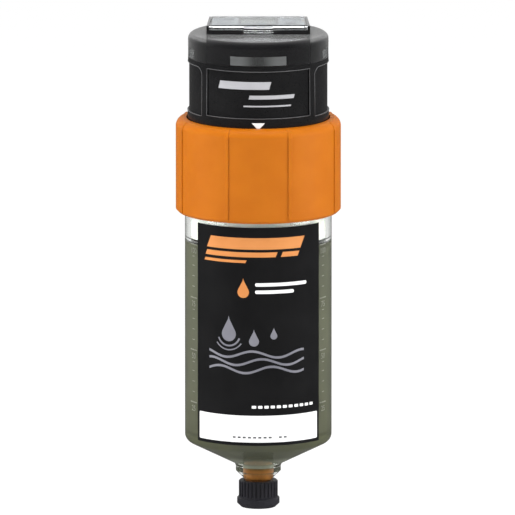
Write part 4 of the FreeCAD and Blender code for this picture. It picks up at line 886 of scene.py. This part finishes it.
SKIRT_HEIGHT = 32.1
SHOULDER_Z = round(foot_of("drive_housing") + SKIRT_HEIGHT, 2)
SHOULDER_WIDTH = 3.5
HOUSING_R = round(box_edge("drive_housing", 1, 0) - SHOULDER_WIDTH, 2)
HOUSING_HEIGHT = round(top_of("drive_housing") - SHOULDER_Z, 2)
HOUSING_DRAFT = 0.3
# Panel outlines are laid out flat at this radius
PANEL_R = 32.4
PANEL_RIM = 2.4
PANEL_TOP = round(top_of("drive_housing") - PANEL_RIM, 2)
BEAD_R, BEAD_SINK = 0.2, 0.03


def housing_radius(z):
    return HOUSING_R - HOUSING_DRAFT * (z - SHOULDER_Z) / HOUSING_HEIGHT


def level_line(start, end, z, steps=14):
    return [(start + (end - start) * k / steps, z) for k in range(steps + 1)]


def panel_loop(azimuth, half_span, low, high, corner):
    """The edge line of a panel on the housing, with rounded upper corners where corner isn't 0."""
    half = math.radians(half_span) * PANEL_R
    inner = half - corner
    flat = level_line(-half, half, low)
    if corner:
        flat += arc(inner, high - corner, corner, 0, 90, 6)
        flat += level_line(inner, -inner, high)[1:-1]
        flat += arc(-inner, high - corner, corner, 90, 180, 6)
    else:
        flat += level_line(half, -half, high)
    points = []
    for across, z in flat:
        angle = math.radians(azimuth) + across / PANEL_R
        r = housing_radius(z) - BEAD_SINK
        points.append((r * math.cos(angle), r * math.sin(angle), z))
    return points


# The beads' pale grey is a painted highlight along the panel edges
for name, azimuth, half_span, rise, corner in (
    ("front_panel_bead", FRONT, 46.8, 8.4, 0), ("right_panel_bead", 0, 37.0, 7.6, 4.0),
    ("left_panel_bead", 180, 37.0, 7.6, 4.0),
):
    loop = panel_loop(azimuth, half_span, SHOULDER_Z + rise, PANEL_TOP, corner)
    add_piece(
        name, tube(name, loop, BEAD_R), bead_highlight_and_rule_ink, "lubricator", smooth=True,
    )
ARROW_HALF, ARROW_LOW, ARROW_HIGH = 3.0, 3.1, 6.5
arrow = lifted([[(-ARROW_HALF, ARROW_HIGH), (0, ARROW_LOW), (ARROW_HALF, ARROW_HIGH)]], SHOULDER_Z)
add_piece(
    "arrow_mark", wrapped("arrow_mark", arrow, HOUSING_R - BEAD_SINK, 0.05, step=0.6), label_white,
    "lubricator",
)
PANEL_DEPTH = 0.8
stripes = lifted([
    slanted(-19.5, 5.0, 21.9, 25.5, 1.0),
    slanted(-4.5, 17.0, 17.4, 19.2, 0.5),
    slanted(-7.0, 15.5, 13.8, 14.5, 0.2),
], SHOULDER_Z)
add_piece(
    "panel_stripes", wrapped("panel_stripes", stripes, HOUSING_R - PANEL_DEPTH, 0.03), ink_grey,
    "lubricator",
)

# Display: frame, digits and level bars on the glass, and the fascia's small parts

GLASS_Z = top_of("lcd_module")
FASCIA_Z = top_of("display_panel")
POCKET_Z = round(FASCIA_Z - 0.8, 2)
SCREEN_LEFT, SCREEN_RIGHT = box_edge("lcd_module", 0, 0), box_edge("lcd_module", 1, 0)
SCREEN_LOW, SCREEN_HIGH = box_edge("lcd_module", 0, 1), box_edge("lcd_module", 1, 1)
FRAME_SIDE, FRAME_END = 1.2, 1.1
SEGMENT_GAP = 0.15


def seven_segments(cx, cy, lit, width=2.6, height=4.6, bar=0.55):
    """One figure of a segment display, from the letters a to g of its lit bars."""
    half, tall = width / 2, height / 2
    left, right = (cx - half, cx - half + bar), (cx + half - bar, cx + half)
    level = (cx - half + bar, cx + half - bar)
    upper, lower = (cy + SEGMENT_GAP, cy + tall - SEGMENT_GAP), (cy - tall + SEGMENT_GAP, cy - SEGMENT_GAP)
    bars = {
        "a": block(*level, cy + tall - bar, cy + tall),
        "b": block(*right, *upper),
        "c": block(*right, *lower),
        "d": block(*level, cy - tall, cy - tall + bar),
        "e": block(*left, *lower),
        "f": block(*left, *upper),
        "g": block(*level, cy - bar / 2, cy + bar / 2),
    }
    return [bars[letter] for letter in lit]


def add_print(name, shapes, z, thickness, material):
    add_piece(name, flat_print(name, shapes, z, thickness), material, "lubricator")


screen = seven_segments(-2.2, 6.6, "abcdef") + seven_segments(2.2, 6.6, "acdefg")
screen += [block(-6.0 + 2.1 * k, -4.4 + 2.1 * k, -0.6, 0.9) for k in range(6)]
add_print("screen_figures", screen, GLASS_Z, 0.01, ink_dark)
frame_low, frame_high = SCREEN_LOW + FRAME_END, SCREEN_HIGH - FRAME_END
edge = [
    block(SCREEN_LEFT, SCREEN_RIGHT, SCREEN_LOW, frame_low),
    block(SCREEN_LEFT, SCREEN_RIGHT, frame_high, SCREEN_HIGH),
    block(SCREEN_LEFT, SCREEN_LEFT + FRAME_SIDE, frame_low, frame_high),
    block(SCREEN_RIGHT - FRAME_SIDE, SCREEN_RIGHT, frame_low, frame_high),
]
add_print("screen_frame", edge, GLASS_Z, 0.4, switch_plastic)
pocket_ring = ring_of(15.3, 5.0, 3.6, 3.15, 0, 360, 40)
add_print("button_ring", pocket_ring, POCKET_Z, 0.03, ink_dark)
left_print = [block(-19.0, -12.4, 9.2 - 2.6 * k, 9.9 - 2.6 * k) for k in range(4)]
add_print("pocket_print", left_print, POCKET_Z, 0.02, ink_dark)

# The status lamp's lens, sunk a little into the fascia
LENS_X, LENS_Y = 20.65, 7.5
LENS_FOOT = FASCIA_Z - 0.1
lens_profile = [
    (0, LENS_FOOT), (0.6, LENS_FOOT), (0.6, LENS_FOOT + 0.14), (0.45, LENS_FOOT + 0.21),
    (0, LENS_FOOT + 0.24),
]
lens = turned_mesh("status_lens", lens_profile, 32, closed=False)
lens.transform(Matrix.Translation((LENS_X * MM, LENS_Y * MM, 0)))
add_piece("status_lens", lens, amber_lens, "lubricator", smooth=True)

# Feed screw with its thread, in place of the plain spindle

PITCH = 3.0
# Screw, collar and hexagon each reach a little into the next
JOIN = 0.1
HEX_LENGTH, COLLAR_HEIGHT = 7.7, 1.7
HEX_HIGH = top_of("drive_spindle")
HEX_LOW = round(HEX_HIGH - HEX_LENGTH, 2)
COLLAR_LOW = round(HEX_LOW - COLLAR_HEIGHT, 2)
COLLAR_HIGH = round(HEX_LOW + JOIN, 2)
SCREW_LOW = foot_of("drive_spindle")
SCREW_HIGH = round(COLLAR_LOW + JOIN, 2)
SCREW_CREST_R, SCREW_ROOT_R = 4.98, 4.05
SCREW_CREST, SCREW_FLANK = 0.34, 0.16
TIP_SLOPE = 0.9
AROUND, PER_TURN = 36, 12


def screw_ring(z):
    """The feed screw's outline at a height, drawn in towards the root at its tip."""
    points = []
    for i in range(AROUND):
        angle = 2 * math.pi * i / AROUND
        depth = thread_depth((z - SCREW_LOW) / PITCH - i / AROUND, SCREW_CREST, SCREW_FLANK)
        r = SCREW_CREST_R + (SCREW_ROOT_R - SCREW_CREST_R) * depth
        r = min(r, SCREW_ROOT_R + (z - SCREW_LOW) * TIP_SLOPE)
        points.append((r * math.cos(angle), r * math.sin(angle), z))
    return points


rows = int(round((SCREW_HIGH - SCREW_LOW) / PITCH * PER_TURN))
screw_rings = [screw_ring(SCREW_LOW + (SCREW_HIGH - SCREW_LOW) * row / rows) for row in range(rows + 1)]
screw = add_piece(
    "feed_screw", lofted("feed_screw", screw_rings), spindle_plastic, "spindle",
    smooth=True,
)

COLLAR_R = box_edge("drive_spindle", 1, 0)
COLLAR_EDGE = 0.3
head_profile = [
    (0, COLLAR_LOW), (COLLAR_R - COLLAR_EDGE, COLLAR_LOW), (COLLAR_R, COLLAR_LOW + COLLAR_EDGE),
    (COLLAR_R, COLLAR_HIGH - COLLAR_EDGE), (COLLAR_R - COLLAR_EDGE, COLLAR_HIGH), (0, COLLAR_HIGH),
]
add_piece(
    "screw_collar", turned_mesh("screw_collar", head_profile, 96, closed=False), spindle_plastic, "spindle",
)

HEX_WIDTH = 8.0
HEX_R = HEX_WIDTH / math.sqrt(3)
HEX_EDGE, HEX_EDGE_Z = 0.4, 0.5


def hex_ring(radius, z):
    corners = [math.radians(60 * i) for i in range(6)]
    return [(radius * math.cos(angle), radius * math.sin(angle), z) for angle in corners]


hex_rings = [
    hex_ring(HEX_R, HEX_LOW), hex_ring(HEX_R, HEX_HIGH - HEX_EDGE_Z), hex_ring(HEX_R - HEX_EDGE, HEX_HIGH),
]
add_piece(
    "screw_hexagon", lofted("screw_hexagon", hex_rings), spindle_plastic, "spindle",
)
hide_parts("drive_spindle")

# Stage: pale floor, soft light, long-lens camera at the photograph's angle

FLOOR_Z = -16
# In metres, and wide enough to fill the long lens's view
FLOOR_REACH = 30.0


def floor_material():
    """White to the camera and through clear plastic, dim in reflections, clear from below."""
    material, nodes, links, shader = new_material("floor_white")
    shader.inputs["Base Color"].default_value = (0.86, 0.86, 0.86, 1)
    shader.inputs["Roughness"].default_value = 0.9
    path = nodes.new("ShaderNodeLightPath")
    through = path.outputs["Is Transmission Ray"]
    seen = worked(nodes, links, "MAXIMUM", path.outputs["Is Camera Ray"], through)
    glowing = worked(nodes, links, "MULTIPLY", seen, 0.86)
    glow = white_light(nodes, links, "ShaderNodeEmission", 1.08)
    dim = white_light(nodes, links, "ShaderNodeEmission", 0.12)
    reflected = worked(nodes, links, "SUBTRACT", path.outputs["Is Glossy Ray"], through)
    lit = layered(nodes, links, glowing, shader.outputs["BSDF"], glow)
    lit = layered(nodes, links, reflected, lit, dim)
    under = nodes.new("ShaderNodeNewGeometry").outputs["Backfacing"]
    see_through = nodes.new("ShaderNodeBsdfTransparent")
    see_through.inputs["Color"].default_value = WHITE
    one_sided = layered(nodes, links, under, lit, see_through.outputs["BSDF"])
    links.new(one_sided, nodes["Material Output"].inputs["Surface"])
    return material


def studio_world():
    """White to the camera and through clear plastic, soft to surfaces, in reflections darkest in front."""
    world = bpy.data.worlds.new("studio")
    world.use_nodes = True
    nodes, links = world.node_tree.nodes, world.node_tree.links
    soft = nodes["Background"]
    soft.inputs["Color"].default_value = WHITE
    soft.inputs["Strength"].default_value = 0.4
    path = nodes.new("ShaderNodeLightPath")
    backward = coordinate(nodes, links, "Generated", "Y")
    reflected = remapped(nodes, links, backward, -0.55, 0.75, 0.03, 0.56, "SMOOTHSTEP")
    shown = soft.outputs[0]
    for ray, strength in (
        ("Is Glossy Ray", reflected), ("Is Transmission Ray", 1.0), ("Is Camera Ray", 1.0),
    ):
        backdrop = white_light(nodes, links, "ShaderNodeBackground", strength)
        shown = layered(nodes, links, path.outputs[ray], shown, backdrop)
    links.new(shown, nodes["World Output"].inputs["Surface"])
    return world


# The point that the lamps look at; lamp places and sizes are in metres
LIT_POINT = Vector((0, 0, 0.12))


def softbox(name, place, width, height, power):
    """A soft lamp that looks at the object and doesn't show in its reflections."""
    lamp = bpy.data.lights.new(name, "AREA")
    lamp.shape = "RECTANGLE"
    lamp.size = width
    lamp.size_y = height
    lamp.energy = power
    item = bpy.data.objects.new(name, lamp)
    item.location = place
    item.rotation_mode = "QUATERNION"
    item.rotation_quaternion = (LIT_POINT - Vector(place)).to_track_quat("-Z", "Y")
    item.visible_glossy = False
    bpy.context.scene.collection.objects.link(item)


floor_mesh = bpy.data.meshes.new("floor")
floor_corners = block(-FLOOR_REACH, FLOOR_REACH, -FLOOR_REACH, FLOOR_REACH)
floor_mesh.from_pydata([(x, y, FLOOR_Z * MM) for x, y in floor_corners], [], [(0, 1, 2, 3)])
floor_mesh.materials.append(floor_material())
floor = bpy.data.objects.new("floor", floor_mesh)
bpy.context.scene.collection.objects.link(floor)
floor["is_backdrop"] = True

bpy.context.scene.world = studio_world()

softbox("left_softbox", (-1.15, -0.32, 0.3), 0.8, 1.0, 16.5)
softbox("right_softbox", (1.15, -0.32, 0.3), 0.8, 1.0, 16.5)
softbox("top_softbox", (0, -0.35, 1.2), 0.9, 0.9, 13)

# The photograph's width in pixels, and its pixels per millimetre at the object
PHOTO_WIDTH = 515
PHOTO_SCALE = 2.171
ELEVATION = math.radians(10.3)
AIM = Vector((-0.37 * MM, 0, 116.45 * MM))
LENS, SENSOR = 1500, 36
camera_data = bpy.data.cameras.new("photo_camera")
camera_data.lens = LENS
camera_data.sensor_width = SENSOR
camera_data.clip_start = 0.05
camera_data.clip_end = 90
camera = bpy.data.objects.new("photo_camera", camera_data)
bpy.context.scene.collection.objects.link(camera)
half_view = PHOTO_WIDTH / 2 / PHOTO_SCALE * MM
distance = half_view / (SENSOR / 2 / LENS)
back = Vector((0, -math.cos(ELEVATION), math.sin(ELEVATION)))
camera.location = AIM + back * distance
camera.rotation_mode = "QUATERNION"
camera.rotation_quaternion = (-back).to_track_quat("-Z", "Y")
bpy.context.scene.camera = camera

bpy.context.scene.view_settings.view_transform = "Standard"

low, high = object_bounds()
